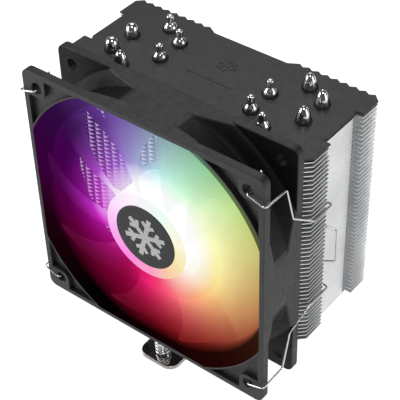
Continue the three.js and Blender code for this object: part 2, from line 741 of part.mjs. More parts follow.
function impeller() {
  const inner = HUB_RADIUS - HUB_WALL;
  const recess = BADGE_RADIUS + GAP;
  const [seat, chamfer, ceiling] = [HUB_FRONT + 0.5, 1, 2];
  const profile = [[0, seat], [recess, seat], [recess, HUB_FRONT], [HUB_RADIUS - chamfer, HUB_FRONT],
    [HUB_RADIUS, HUB_FRONT + chamfer], [HUB_RADIUS, HUB_BACK], [inner, HUB_BACK], [inner, ceiling],
    [0, ceiling]];
  let body = solid(turned(profile, 32));
  for (let i = 0; i < BLADE_COUNT; i += 1) {
    body = body.add(solid(blade().rotateY(2 * Math.PI * i / BLADE_COUNT)));
  }
  return body;
}

function hubBadge() {
  const thickness = 0.45;
  return disc(BADGE_RADIUS, HUB_FRONT, HUB_FRONT + thickness, 32);
}

function rotorYoke() {
  const [outer, wall, front, back] = [18.7, 0.8, 2.1, 17];
  const hole = SHAFT_RADIUS + 0.1;
  return turned([[hole, front], [outer, front], [outer, back], [outer - wall, back],
    [outer - wall, front + wall], [hole, front + wall]], 24);
}

function rotorMagnet() {
  const [inner, outer, front, back] = [15.7, 17.6, 5, 16.5];
  return ring(inner, outer, front, back, 24);
}

function rotorShaft() {
  const [front, back] = [2.4, 20.8];
  return disc(SHAFT_RADIUS, front, back, 14);
}

// The washer that clips on to the shaft's back end and keeps the rotor in its bearing.
function shaftRetainer() {
  const [outer, front, back] = [2.6, 19.7, 20.2];
  return ring(SHAFT_RADIUS + 0.06, outer, front, back, 14);
}

// ---------------------------------------------------------------- wire clips

function wireClip(side) {
  const half = [
    [52.6, 8, 56.2],
    [52.6, 8, 52.2],
    [52.6, -1.1, 51.6],
    [61.1, -1.1, 48.9],
    [61.1, 12.3, 48.4],
    [61.1, 17, 31],
    [63.2, 28.6, 22.6],
    [63.2, 41, 22.6],
    [60.1, 41, 22.3],
    [60.1, 41, 9.6],
    [65.1, 42.7, 8.3],
  ];
  const mirrored = half.map(([x, y, z]) => [x, y, -z]).reverse();
  const corners = [...half, ...mirrored].map(([x, y, z]) => [side * x, y, z]);
  return roundBar(bentPath(corners, CLIP_BEND, 2), CLIP_WIRE, 5);
}

// ---------------------------------------------------------------- put together

add(group, 'cold_plate', FINISH.nickel, coldPlate());
add(group, 'base_cap', FINISH.aluminium, baseCap());
PIPES.forEach((pipe, i) => add(group, `heat_pipe_${i + 1}`, FINISH.nickel, heatPipe(pipe)));
add(group, 'fin_stack', FINISH.aluminium, finStack());
add(group, 'top_plate', FINISH.blackPlate, topPlate());
add(group, 'mounting_bar', FINISH.darkNickel, mountingBar());
for (const [place, side] of [['front', -1], ['rear', 1]]) {
  add(group, `${place}_bar_screw`, FINISH.steel, barScrew(side * BAR_SCREW_Y));
  add(group, `${place}_spring_screw`, FINISH.steel, springScrew(side * SPRING_SCREW_Y));
  add(group, `${place}_screw_retainer`, FINISH.steel, screwRetainer(side * SPRING_SCREW_Y));
  add(group, `${place}_spring_washer`, FINISH.steel, springWasher(side * SPRING_SCREW_Y));
  add(group, `${place}_spring`, FINISH.steel, spring(side * SPRING_SCREW_Y));
}

add(fan, 'fan_frame', FINISH.blackPlastic, fanFrame());
add(fan, 'bearing_sleeve', FINISH.brass, bearingSleeve());
add(fan, 'stator_core', FINISH.steel, statorCore());
for (let i = 0; i < COIL_COUNT; i += 1) {
  add(fan, `stator_coil_${i + 1}`, FINISH.copper, coil(i));
}
add(fan, 'circuit_board', FINISH.circuitBoard, circuitBoard());
for (let i = 0; i < LED_COUNT; i += 1) {
  add(fan, `led_${i + 1}`, FINISH.led, led(i));
}
add(fan, 'motor_label', FINISH.label, motorLabel());
add(fan, 'fan_cable', FINISH.cable, cable(1));
add(fan, 'fan_plug', FINISH.blackPlastic, plug(1, [0, 1, 2, 3]));
add(fan, 'lighting_cable', FINISH.cable, cable(-1));
add(fan, 'lighting_plug', FINISH.blackPlastic, plug(-1, [0, 1, 3]));

add(fan, 'impeller', FINISH.milkyPlastic, impeller());
add(fan, 'hub_badge', FINISH.badge, hubBadge());
add(fan, 'rotor_yoke', FINISH.steel, rotorYoke());
add(fan, 'rotor_magnet', FINISH.magnet, rotorMagnet());
add(fan, 'rotor_shaft', FINISH.steel, rotorShaft());
add(fan, 'shaft_retainer', FINISH.blackPlastic, shaftRetainer());

add(fan, 'left_clip', FINISH.steel, wireClip(-1));
add(fan, 'right_clip', FINISH.steel, wireClip(1));

export default group;
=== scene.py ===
import math

import bmesh
import bpy
from mathutils import Matrix, Vector


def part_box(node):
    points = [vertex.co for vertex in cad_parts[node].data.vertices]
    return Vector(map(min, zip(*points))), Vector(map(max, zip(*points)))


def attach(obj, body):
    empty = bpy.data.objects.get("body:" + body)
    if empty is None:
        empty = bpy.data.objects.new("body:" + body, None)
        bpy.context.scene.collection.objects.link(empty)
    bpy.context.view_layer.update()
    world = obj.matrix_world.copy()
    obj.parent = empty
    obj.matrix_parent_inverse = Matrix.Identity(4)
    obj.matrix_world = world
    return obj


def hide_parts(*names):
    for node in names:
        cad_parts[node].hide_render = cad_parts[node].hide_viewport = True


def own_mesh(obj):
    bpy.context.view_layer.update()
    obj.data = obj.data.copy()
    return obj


# Lengths are in millimetres up to the moment a mesh is made. The fan is drawn in its own frame:
# origin on the front face's centre, x to the right, y into the depth, z up.

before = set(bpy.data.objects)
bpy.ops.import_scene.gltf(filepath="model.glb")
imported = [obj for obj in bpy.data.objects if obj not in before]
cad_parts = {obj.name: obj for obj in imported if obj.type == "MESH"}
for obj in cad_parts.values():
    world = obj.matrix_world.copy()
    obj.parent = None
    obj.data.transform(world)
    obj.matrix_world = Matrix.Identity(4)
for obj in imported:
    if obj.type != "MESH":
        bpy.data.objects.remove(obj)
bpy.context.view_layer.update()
MM = 0.001


def node_box(name):
    low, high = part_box(name)
    return low / MM, high / MM


def node_centre(name):
    low, high = node_box(name)
    return (low + high) / 2


FRAME_LOW, FRAME_HIGH = node_box("fan_frame")
FAN_ORIGIN = Vector((0, FRAME_LOW.y, (FRAME_LOW.z + FRAME_HIGH.z) / 2))
FAN_HALF = (FRAME_HIGH.x - FRAME_LOW.x) / 2
FAN_DEPTH = FRAME_HIGH.y - FRAME_LOW.y
FIN_LOW, FIN_HIGH = node_box("fin_stack")
PLATE_LOW, PLATE_HIGH = node_box("top_plate")
BAR_LOW, BAR_HIGH = node_box("mounting_bar")
PIPE_NODES = ["heat_pipe_%d" % i for i in range(1, 7)]
PIPE_RADIUS = 3.0
HUB_RADIUS = 20.7
HUB_FRONT = 0.6

# ---- mesh helpers


def placed(name, data):
    """An object in the scene that holds a mesh, curve, light or camera."""
    thing = bpy.data.objects.new(name, data)
    bpy.context.scene.collection.objects.link(thing)
    return thing


def add_part(name, mesh, body, slot, replaced=(), material=None, smooth=35):
    """Puts a piece in the scene on its body, in place of the CAD nodes named in replaced."""
    mesh.name = name
    mesh.materials.clear()
    mesh.materials.append(material or MATERIALS[slot])
    mesh.shade_smooth()
    mesh.set_sharp_from_angle(angle=math.radians(smooth))
    piece = placed(name, mesh)
    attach(piece, body)
    if replaced:
        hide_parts(*replaced)
    return piece


def closed(mesh, distance):
    """Joins vertices that lie on each other and turns all faces outwards."""
    bm = bmesh.new()
    bm.from_mesh(mesh)
    bmesh.ops.remove_doubles(bm, verts=bm.verts, dist=distance)
    bmesh.ops.recalc_face_normals(bm, faces=bm.faces)
    bm.to_mesh(mesh)
    bm.free()
    return mesh


def finished(holder, *helpers):
    """The mesh that an object comes to, after which it and its helpers are taken away."""
    mesh = bpy.data.meshes.new_from_object(holder.evaluated_get(bpy.context.evaluated_depsgraph_get()))
    for thing in (holder, *helpers):
        bpy.data.objects.remove(thing)
    return mesh


def mesh_from(vertices, faces, offset=(0, 0, 0)):
    mesh = bpy.data.meshes.new("mesh")
    shift = Vector(offset)
    mesh.from_pydata([(Vector(v) + shift) * MM for v in vertices], [], faces)
    return closed(mesh, 1e-7)


def merged(meshes):
    bm = bmesh.new()
    for mesh in meshes:
        bm.from_mesh(mesh)
    whole = bpy.data.meshes.new("mesh")
    bm.to_mesh(whole)
    bm.free()
    for mesh in meshes:
        bpy.data.meshes.remove(mesh)
    return whole


def moved(mesh, matrix):
    mesh.transform(matrix)
    if matrix.determinant() < 0:
        mesh.flip_normals()
    return mesh


def shifted(mesh, x, y, z):
    return moved(mesh, Matrix.Translation(Vector((x, y, z)) * MM))


def plate(outer, holes, low, high, bevel=0.0, plane="XY"):
    """A plate with holes and rounded edges: an outline in x and y raised from low to high."""
    curve = bpy.data.curves.new("outline", "CURVE")
    curve.dimensions = "2D"
    curve.fill_mode = "BOTH"
    curve.extrude = ((high - low) / 2 - bevel) * MM
    curve.bevel_depth = bevel * MM
    curve.bevel_resolution = 2
    curve.offset = -bevel * MM
    for loop in [outer] + holes:
        spline = curve.splines.new("POLY")
        spline.points.add(len(loop) - 1)
        for point, (x, y) in zip(spline.points, loop):
            point.co = (x * MM, y * MM, 0, 1)
        spline.use_cyclic_u = True
    shape = closed(finished(placed("outline", curve)), 2e-6)
    bpy.data.curves.remove(curve)
    shape.transform(Matrix.Translation((0, 0, (low + high) / 2 * MM)))
    if plane == "XZ":
        moved(shape, Matrix(((1, 0, 0, 0), (0, 0, 1, 0), (0, 1, 0, 0), (0, 0, 0, 1))))
    return shape


def skin(rows, count, joined_rows=False, joined_points=True):
    """Four-sided faces between neighbouring rows of count points, which are numbered row by row."""
    faces = []
    for i in range(rows if joined_rows else rows - 1):
        near, far = i * count, (i + 1) % rows * count
        for k in range(count if joined_points else count - 1):
            after = (k + 1) % count
            faces.append((near + k, near + after, far + after, far + k))
    return faces


def turned(profile, segments=64, axis="Y", centre=(0, 0, 0)):
    """A solid of revolution from (radius, height) pairs that close on the axis or on themselves."""
    vertices = []
    for i in range(segments):
        angle = 2 * math.pi * i / segments
        for radius, height in profile:
            u, v = radius * math.cos(angle), radius * math.sin(angle)
            vertices.append((u, height, v) if axis == "Y" else (u, v, height))
    return mesh_from(vertices, skin(segments, len(profile), True, profile[0][0] > 0), centre)


def rounded_profile(profile, radius, steps=3):
    """Rounds the inner corners of an open profile that runs from axis to axis."""
    points = [Vector(p) for p in profile]
    result = [points[0]]
    for before, corner, after in zip(points, points[1:], points[2:]):
        back, ahead = before - corner, after - corner
        cut = min(radius, back.length * 0.45, ahead.length * 0.45)
        start, end = corner + back.normalized() * cut, corner + ahead.normalized() * cut
        for step in range(steps + 1):
            t = step / steps
            result.append(start * (1 - t) ** 2 + corner * 2 * t * (1 - t) + end * t ** 2)
    result.append(points[-1])
    return [(p.x, p.y) for p in result]


def arc(cx, cy, radius, start, end, steps):
    angles = [start + (end - start) * i / steps for i in range(steps + 1)]
    return [(cx + radius * math.cos(angle), cy + radius * math.sin(angle)) for angle in angles]


def circle(cx, cy, radius, segments=32):
    return arc(cx, cy, radius, 0, 2 * math.pi, segments)[:-1]


def rounded_rectangle(half_x, half_y, radius, steps=8):
    quarter = math.pi / 2
    corners = [(half_x, half_y), (-half_x, half_y), (-half_x, -half_y), (half_x, -half_y)]
    points = []
    for i, (x, y) in enumerate(corners):
        inner = (x - math.copysign(radius, x), y - math.copysign(radius, y))
        points += arc(*inner, radius, i * quarter, (i + 1) * quarter, steps)
    return points


def bent_path(corners, bend, steps=6):
    """Points and directions along straight runs whose corners are rounded to a bend radius."""
    points = [Vector(c) for c in corners]
    stations = [(points[0], (points[1] - points[0]).normalized())]
    for before, corner, after in zip(points, points[1:], points[2:]):
        into, out = (corner - before).normalized(), (after - corner).normalized()
        turn = into.angle(out)
        if turn < 1e-3:
            continue
        inward = (out - into * into.dot(out)).normalized()
        start = corner - into * bend * math.tan(turn / 2)
        for step in range(steps + 1):
            angle = turn * step / steps
            point = start + into * bend * math.sin(angle) + inward * bend * (1 - math.cos(angle))
            stations.append((point, into * math.cos(angle) + inward * math.sin(angle)))
    stations.append((points[-1], (points[-1] - points[-2]).normalized()))
    return stations


def swept(stations, radius, sides=16):
    """A round bar along stations of (point, direction), which may have their own radius as a third value."""
    rows, side = [], None
    for station in stations:
        point, direction = station[0], station[1]
        own_radius = station[2] if len(station) > 2 else radius
        if side is None:
            side = direction.orthogonal().normalized()
        side = (side - direction * side.dot(direction)).normalized()
        other = direction.cross(side)
        rows.append([
            point + (side * math.cos(a) + other * math.sin(a)) * own_radius
            for a in (2 * math.pi * k / sides for k in range(sides))
        ])
    last = (len(rows) - 1) * sides
    ends = [tuple(range(sides)), tuple(range(last, last + sides))]
    return mesh_from([v for row in rows for v in row], skin(len(rows), sides) + ends)


def with_round_ends(stations, radius):
    """Adds two small steps at each end so that a cut wire has a softened edge."""
    (first, start), (last, end) = stations[0], stations[-1]
    steps = [(0.12, 0.93), (0.35, 0.6)]
    head = [(first - start * radius * out, start, radius * size) for out, size in reversed(steps)]
    tail = [(last + end * radius * out, end, radius * size) for out, size in steps]
    return head + stations + tail


def box_mesh(low, high, bevel=0.0, segments=2):
    """A box between two corners, with rounded edges where bevel is given."""
    mesh = bpy.data.meshes.new("mesh")
    bm = bmesh.new()
    bmesh.ops.create_cube(bm, size=1)
    size = Vector(high) - Vector(low)
    middle = (Vector(high) + Vector(low)) / 2
    for vertex in bm.verts:
        vertex.co = Vector([c * s + m for c, s, m in zip(vertex.co, size, middle)]) * MM
    if bevel:
        bmesh.ops.bevel(bm, geom=bm.edges[:], offset=bevel * MM, segments=segments, profile=0.5,
                        affect="EDGES")
    bm.to_mesh(mesh)
    bm.free()
    return mesh


def combined(mesh, tool_mesh, operation):
    """A boolean of two closed meshes as one closed mesh."""
    whole, tool = placed("whole", mesh), placed("tool", tool_mesh)
    step = whole.modifiers.new("combine", "BOOLEAN")
    step.object = tool
    step.operation = operation
    step.solver = "MANIFOLD"
    return finished(whole, tool)


def cut_out(mesh, *cutters):
    """The mesh with the cutters' volumes taken away one by one."""
    for cutter in cutters:
        mesh = combined(mesh, cutter, "DIFFERENCE")
    return mesh


def fused(*meshes):
    """Overlapping closed meshes as one skin."""
    whole = meshes[0]
    for mesh in meshes[1:]:
        whole = combined(whole, mesh, "UNION")
    return whole


# ---- materials


COLOUR_A, COLOUR_B, COLOUR_RESULT = 6, 7, 2  # the mix node's colour sockets by their place


class Nodes:
    """A small builder for a material's node tree."""

    def __init__(self, name):
        self.material = bpy.data.materials.new(name)
        self.material.use_nodes = True
        self.tree = self.material.node_tree
        self.shader = self.tree.nodes["Principled BSDF"]
        self.coordinates = self.add("ShaderNodeTexCoord").outputs["Object"]

    def feed(self, socket, value):
        """Gives a socket a plain number or colour, or another node's output."""
        if isinstance(value, (int, float, tuple)):
            socket.default_value = value
        else:
            self.tree.links.new(value, socket)

    def add(self, kind, inputs=None, **settings):
        node = self.tree.nodes.new(kind)
        for key, value in settings.items():
            setattr(node, key, value)
        for name, value in (inputs or {}).items():
            self.feed(node.inputs[name], value)
        return node

    def shade(self, looks):
        for name, value in looks.items():
            self.feed(self.shader.inputs[name], value)

    def base_colour(self):
        """What feeds the shader's base colour so far."""
        return self.shader.inputs["Base Color"].links[0].from_socket

    def noise(self, scale, detail=4, stretch=(1, 1, 1)):
        mapping = self.add("ShaderNodeMapping", {"Scale": stretch, "Vector": self.coordinates})
        inputs = {"Scale": scale, "Detail": detail, "Vector": mapping.outputs["Vector"]}
        return self.add("ShaderNodeTexNoise", inputs).outputs["Fac"]

    def span(self, value, low, high, from_low=0.3, from_high=0.7):
        limits = {"From Min": from_low, "From Max": from_high, "To Min": low, "To Max": high}
        return self.add("ShaderNodeMapRange", {"Value": value, **limits}).outputs["Result"]

    def math(self, operation, first, second=0.0):
        return self.add("ShaderNodeMath", {0: first, 1: second}, operation=operation).outputs[0]

    def times(self, first, *others):
        for other in others:
            first = self.math("MULTIPLY", first, other)
        return first

    def plus(self, first, second):
        return self.math("ADD", first, second)

    def below(self, value, limit):
        return self.math("LESS_THAN", value, limit)

    def above(self, value, limit):
        return self.math("GREATER_THAN", value, limit)

    def distance(self, x, z):
        return self.math("SQRT", self.plus(self.times(x, x), self.times(z, z)))

    def components(self, vector):
        return tuple(self.add("ShaderNodeSeparateXYZ", {"Vector": vector}).outputs)

    def blend(self, factor, first, second):
        inputs = {"Factor": factor, COLOUR_A: first, COLOUR_B: second}
        return self.add("ShaderNodeMix", inputs, data_type="RGBA").outputs[COLOUR_RESULT]

    def ramp(self, value, stops):
        node = self.add("ShaderNodeValToRGB", {"Fac": value})
        elements = node.color_ramp.elements
        while len(elements) < len(stops):
            elements.new(0.5)
        for element, (position, colour) in zip(elements, stops):
            element.position = position
            element.color = colour
        return node.outputs["Color"]

    def bump(self, height, strength, distance):
        inputs = {"Strength": strength, "Distance": distance * MM, "Height": height}
        self.shade({"Normal": self.add("ShaderNodeBump", inputs).outputs["Normal"]})


def grey(value):
    return (value, value, value, 1.0)


def linear(red, green, blue):
    """A display colour given as numbers from 0 to 255, as linear light."""
    shares = [channel / 255 for channel in (red, green, blue)]
    return (*[c / 12.92 if c < 0.04 else ((c + 0.055) / 1.055) ** 2.4 for c in shares], 1.0)


def display(red, green, blue):
    """The same colour left as display values."""
    return (red / 255, green / 255, blue / 255, 1.0)


def surface(name, colour, roughness, metallic=0, variation=0.12, rough_spread=0.06,
            grain=(2500, 0.15, 0.02), stretch=(1, 1, 1)):
    """A base material: large soft colour drift, uneven roughness and a fine grain in the bump."""
    nodes = Nodes(name)
    dark = tuple(c * (1 - variation) for c in colour[:3]) + (1,)
    light = tuple(min(1, c * (1 + variation)) for c in colour[:3]) + (1,)
    drift = nodes.span(nodes.noise(60, 3), 0, 1)
    uneven = nodes.span(nodes.noise(420, 5, stretch), roughness - rough_spread, roughness + rough_spread)
    nodes.shade({"Base Color": nodes.blend(drift, dark, light), "Roughness": uneven, "Metallic": metallic})
    scale, strength, depth = grain
    nodes.bump(nodes.noise(scale, 3, stretch), strength, depth)
    return nodes


# A finish has a name, colour, roughness, metallic, colour drift and spread of the roughness, then the
# grain's scale, strength and depth, and where the grain is stretched, its scale along x, y and z.
BLACK_PLASTIC = ((0.028, 0.028, 0.030, 1), 0.5, 0, 0.1, 0.08, (2800, 0.5, 0.05))
SHEET_METAL = (0.36, 1, 0.08, 0.08, (1800, 0.2, 0.02), (1, 1, 6))
FINISHES = {
    "nickel": ("nickel plating", grey(0.8), 0.11, 1, 0.06, 0.05, (700, 0.1, 0.02)),
    "dark_nickel": ("dark nickel", (0.42, 0.40, 0.39, 1), 0.08, 1, 0.1, 0.03, (900, 0.06, 0.01)),
    "aluminium": ("milled aluminium", (0.76, 0.77, 0.78, 1), *SHEET_METAL),
    "black_plate": ("satin black coating", grey(0.03), 0.42, 0, 0.1, 0.07, (3500, 0.35, 0.03)),
    "steel": ("bright steel", grey(0.78), 0.2, 1, 0.06, 0.07, (1500, 0.15, 0.02), (1, 1, 5)),
    "black_plastic": ("matte black plastic", *BLACK_PLASTIC),
    "magnet": ("bonded ferrite", (0.03, 0.028, 0.028, 1), 0.75, 0, 0.25, 0.1, (1800, 0.5, 0.05)),
    "brass": ("bearing brass", (0.72, 0.55, 0.25, 1), 0.28, 1, 0.1, 0.08, (1200, 0.2, 0.02)),
    "copper_wire": ("enamelled copper", (0.72, 0.28, 0.1, 1), 0.3, 1, 0.15, 0.08, (1400, 0.6, 0.1),
                    (1, 8, 1)),
    "label": ("foil label", grey(0.62), 0.4, 0.3, 0.06, 0.08, (900, 0.2, 0.02)),
    "cable": ("cable sleeve", (0.016, 0.016, 0.018, 1), 0.55, 0, 0.2, 0.1, (1800, 0.5, 0.05)),
    "badge": ("dark badge", (0.011, 0.012, 0.013, 1), 0.5, 0, 0.08, 0.05, (900, 0.1, 0.01)),
    "badge_mark": ("pale print", grey(0.6), 0.45, 0, 0.05, 0.05, (900, 0.1, 0.01)),
}


def lamp_material():
    nodes = Nodes("lamp chip")
    warm, cold = linear(255, 215, 240), linear(235, 240, 255)
    nodes.shade({"Emission Color": nodes.ramp(nodes.noise(900, 2), [(0.4, warm), (0.6, cold)]),
                 "Emission Strength": 4})
    return nodes.material


MATERIALS = {slot: surface(*finish).material for slot, finish in FINISHES.items()}
MATERIALS["led"] = lamp_material()

# The lamps' light as (direction, red, green, blue), in degrees from +x towards +z and display values
# from 0 to 255: on the hub's front ring, close to the hub and out at the blade tips.
FACE_LIGHT = [
    (0, 255, 252, 225), (60, 236, 255, 246), (120, 255, 248, 255), (165, 255, 228, 255),
    (200, 255, 185, 248), (235, 255, 140, 226), (265, 255, 165, 200), (290, 252, 206, 170),
    (325, 252, 238, 182), (360, 255, 252, 225),
]
NEAR_LIGHT = [
    (0, 255, 246, 172), (20, 250, 253, 186), (40, 240, 255, 212), (60, 210, 254, 220),
    (80, 196, 248, 240), (100, 168, 185, 216), (120, 176, 120, 232), (145, 196, 92, 232),
    (165, 216, 76, 236), (185, 220, 60, 230), (200, 216, 44, 204), (220, 174, 26, 130),
    (240, 166, 16, 84), (260, 236, 34, 112), (280, 250, 92, 120), (300, 255, 152, 128),
    (320, 255, 194, 130), (340, 255, 228, 148), (360, 255, 246, 172),
]
FAR_LIGHT = [
    (0, 184, 148, 88), (20, 196, 194, 112), (40, 182, 218, 134), (60, 140, 198, 152),
    (80, 136, 166, 170), (100, 124, 104, 174), (120, 92, 54, 132), (140, 60, 22, 80),
    (160, 66, 10, 76), (180, 74, 3, 72), (200, 86, 3, 60), (220, 92, 2, 46), (240, 100, 3, 40),
    (260, 108, 14, 34), (280, 120, 28, 31), (300, 128, 44, 36), (320, 150, 72, 54),
    (340, 172, 108, 70), (360, 184, 148, 88),
]
# How white-hot the light next to the hub is, and how strongly the lamps' light is painted as a glow on the
# front of the duct's wall.
HEAT = [(0, 1.0), (100, 1.0), (150, 0.8), (180, 0.5), (200, 0.15), (225, 0.0), (272, 0.0), (300, 0.4),
        (325, 0.85), (360, 1.0)]
WALL_GLOW = [(0, 0.1), (60, 0.3), (95, 0.7), (178, 0.6), (200, 0.12), (235, 0.0), (300, 0.06), (360, 0.1)]
LIGHT_CENTRE = (3.0, -1.4)  # the light reaches furthest at the lower right, so its rings sit off the axis
# The pattern of light leans as it goes deeper, so that blades, duct wall and fins behind one another
# carry on one soft disc of light. Millimetres sideways and up for each millimetre behind the plane.
LIGHT_LEAN = (0.8, 1.1)
LIGHT_PLANE = 6.0
NEAR_REACH, FAR_REACH = 32, 55
LIT_FINS_LEFT = 59.3  # the lamps' light is painted as a glow on the fins from here on the left to there on the right
LIT_FINS_RIGHT = 45.0
REAR_EARS = 35.0  # how far behind the fan the fins' rear ears begin
# The strength of the faint white sheen painted on the fins' rear ears as a glow.
EAR_PAINTED_SHEEN = 0.035


class LampField:
    """The light of the lamps around the hub at a shaded point, in the fan's own coordinates."""

    def __init__(self, nodes, reference=None):
        self.nodes = nodes
        where = nodes.add("ShaderNodeTexCoord", object=reference)
        centred = nodes.add("ShaderNodeVectorMath", {0: where.outputs["Object"], 1: tuple(FAN_ORIGIN * MM)},
                            operation="SUBTRACT")
        scaled = nodes.add("ShaderNodeVectorMath", {0: centred.outputs["Vector"], "Scale": 1 / MM},
                           operation="SCALE")
        self.x, self.depth, self.z = nodes.components(scaled.outputs["Vector"])
        self.radius = nodes.distance(self.x, self.z)
        behind = nodes.math("SUBTRACT", self.depth, LIGHT_PLANE)
        lit_x = nodes.plus(self.x, nodes.times(behind, LIGHT_LEAN[0]))
        lit_z = nodes.plus(self.z, nodes.times(behind, LIGHT_LEAN[1]))
        turn = nodes.math("DIVIDE", nodes.math("ARCTAN2", lit_z, lit_x), 2 * math.pi)
        self.turn = nodes.math("FRACT", nodes.plus(turn, 1.0))
        reach = nodes.distance(nodes.math("SUBTRACT", lit_x, LIGHT_CENTRE[0]),
                               nodes.math("SUBTRACT", lit_z, LIGHT_CENTRE[1]))
        near, far = self.colours(NEAR_LIGHT, display), self.colours(FAR_LIGHT, display)
        fading = nodes.math("POWER", nodes.span(reach, 0, 1, NEAR_REACH, FAR_REACH), 0.85)
        self.near = self.as_light(near)
        hue = self.as_light(nodes.blend(fading, near, far))
        white = nodes.times(nodes.span(nodes.distance(lit_x, lit_z), 0.95, 0, 23, 33), self.values(HEAT))
        self.colour = nodes.blend(white, hue, grey(1.0))

    def colours(self, stops, convert=linear):
        return self.nodes.ramp(self.turn, [(angle / 360, convert(*colour)) for angle, *colour in stops])

    def values(self, stops):
        return self.nodes.ramp(self.turn, [(angle / 360, grey(value)) for angle, value in stops])

    def as_light(self, colour):
        """Display colours as linear light, after they have been blended the way the eye sees them."""
        return self.nodes.add("ShaderNodeGamma", {"Gamma": 2.2, "Color": colour}).outputs["Color"]


def lit_plastic(reference):
    """Milky plastic of the impeller, lit from inside: the lamps' light is painted on as a glow, white-hot at
    the hub and coloured further out, over an almost black base colour.
    """
    nodes = Nodes("lit milky plastic")
    field = LampField(nodes, reference)
    on_hub = nodes.below(field.radius, HUB_RADIUS + 0.4)
    on_face = nodes.times(on_hub, nodes.below(field.depth, HUB_FRONT + 1.0))
    hub_gain = nodes.times(nodes.math("SUBTRACT", on_hub, on_face), 0.12)
    mottle = nodes.span(nodes.noise(70, 3), 0.94, 1.04)
    nodes.shade({
        "Emission Color": nodes.blend(on_face, field.colour, field.colours(FACE_LIGHT)),
        "Emission Strength": nodes.times(nodes.plus(hub_gain, 0.98), mottle),
        "Base Color": (0.004, 0.004, 0.005, 1),
        "Specular IOR Level": 0.0,
        "Roughness": nodes.span(nodes.noise(500, 3), 0.34, 0.46),
    })
    nodes.bump(nodes.noise(1500, 2), 0.15, 0.02)
    return nodes.material


def frame_plastic():
    """Black plastic with the lamps' light painted on as a glow inside the duct, on the struts and on the
    motor mount, over painted shade: an almost black base colour and no reflection there.
    """
    nodes = surface("matte black plastic in lamp light", *BLACK_PLASTIC)
    field = LampField(nodes)
    normal_x, normal_y, normal_z = nodes.components(nodes.add("ShaderNodeNewGeometry").outputs["Normal"])
    outward = nodes.plus(nodes.times(normal_x, field.x), nodes.times(normal_z, field.z))
    inner_wall = nodes.times(nodes.below(field.radius, MOUTH_RADIUS + 0.1), nodes.below(outward, -1.0))
    within_mouth = nodes.math("MAXIMUM", nodes.below(field.radius, DUCT_RADIUS - 0.1), inner_wall)
    inside = nodes.times(within_mouth, nodes.below(normal_y, 0.6), nodes.above(field.depth, 0.15))
    # Painted shade: between the two flanges, away from the rims, where little light gets in, the base colour
    # is darkened and the reflection dimmed.
    sideways = nodes.math("MAXIMUM", nodes.math("ABSOLUTE", field.x), nodes.math("ABSOLUTE", field.z))
    recess = nodes.times(nodes.above(field.depth, FLANGE - 0.1),
                         nodes.below(field.depth, FAN_DEPTH - FLANGE + 0.1),
                         nodes.below(sideways, FAN_HALF - 0.6))
    shaded = nodes.blend(nodes.times(recess, 0.62), nodes.base_colour(), grey(0.0))
    painted_shade_dimming = nodes.math("MAXIMUM", inside, nodes.times(recess, 0.6))
    # Painted light: the lamps' glow on the inside, as strong as the direction gives, and growing to full
    # from 3 mm deep to the end of the flare.
    glow = nodes.math("MAXIMUM", field.values(WALL_GLOW), nodes.span(field.depth, 0, 1, 3, FLARE_DEPTH))
    # Painted shade: inside the duct the base colour is made almost black and the reflection taken away.
    nodes.shade({
        "Base Color": nodes.blend(inside, shaded, grey(0.001)),
        "Specular IOR Level": nodes.math("SUBTRACT", 0.5, nodes.times(painted_shade_dimming, 0.5)),
        "Emission Color": field.colour,
        "Emission Strength": nodes.times(inside, glow),
    })
    return nodes.material


def fin_aluminium(reference):
    """Sheet aluminium whose front edges behind the fan have the lamps' light painted on as a glow, with
    painted shade on the fins just behind the fan and a faint painted sheen on the rear ears.
    """
    nodes = surface("sheet aluminium", (0.86, 0.87, 0.88, 1), *SHEET_METAL)
    field = LampField(nodes, reference)
    # Painted light: the fins' front edges glow in the lamps' colours, whitened at the very edge and fading
    # further in.
    tips = nodes.span(field.depth, 1, 0, FAN_DEPTH + 0.7, FAN_DEPTH + 1.6)
    bright = nodes.blend(0.35, field.near, grey(1.0))
    lit = nodes.blend(nodes.times(tips, 0.8), field.colour, bright)
    inside = nodes.times(nodes.above(field.x, -LIT_FINS_LEFT),
                         nodes.span(field.x, 1, 0, LIT_FINS_RIGHT - 15, LIT_FINS_RIGHT))
    # Painted shade: the lit fins just behind the fan get an almost black, tinted base colour.
    painted_shade_behind_fan = nodes.times(inside, nodes.span(field.depth, 1, 0, FAN_DEPTH + 8, FAN_DEPTH + 14))
    deeper = nodes.span(field.depth, 0.9, 0, FAN_DEPTH + 1, FAN_DEPTH + 9)
    # Painted sheen: the fins' rear ears glow faintly white.
    rear = nodes.span(field.depth, 0, 1, FAN_DEPTH + REAR_EARS, FAN_DEPTH + REAR_EARS + 1)
    glow = nodes.times(inside, nodes.math("MAXIMUM", tips, deeper))
    nodes.shade({
        "Base Color": nodes.blend(painted_shade_behind_fan, nodes.base_colour(), (0.03, 0.025, 0.035, 1)),
        "Emission Color": nodes.blend(rear, lit, grey(1.0)),
        "Emission Strength": nodes.math("MAXIMUM", glow, nodes.times(rear, EAR_PAINTED_SHEEN)),
    })
    return nodes.material


def flooded_board(reference):
    """The lamps' circuit board: green solder mask whose rim has the lamps' light painted on as a glow."""
    nodes = surface("solder mask", (0.02, 0.13, 0.05, 1), 0.35, 0, 0.2, 0.08, (900, 0.2, 0.02))
    field = LampField(nodes, reference)
    # Painted light: the board's rim glows with the lamps' light.
    rim = nodes.span(field.radius, 0, 1, 17, 19)
    nodes.shade({"Emission Color": field.colour, "Emission Strength": rim})
    return nodes.material


# ---- fan frame

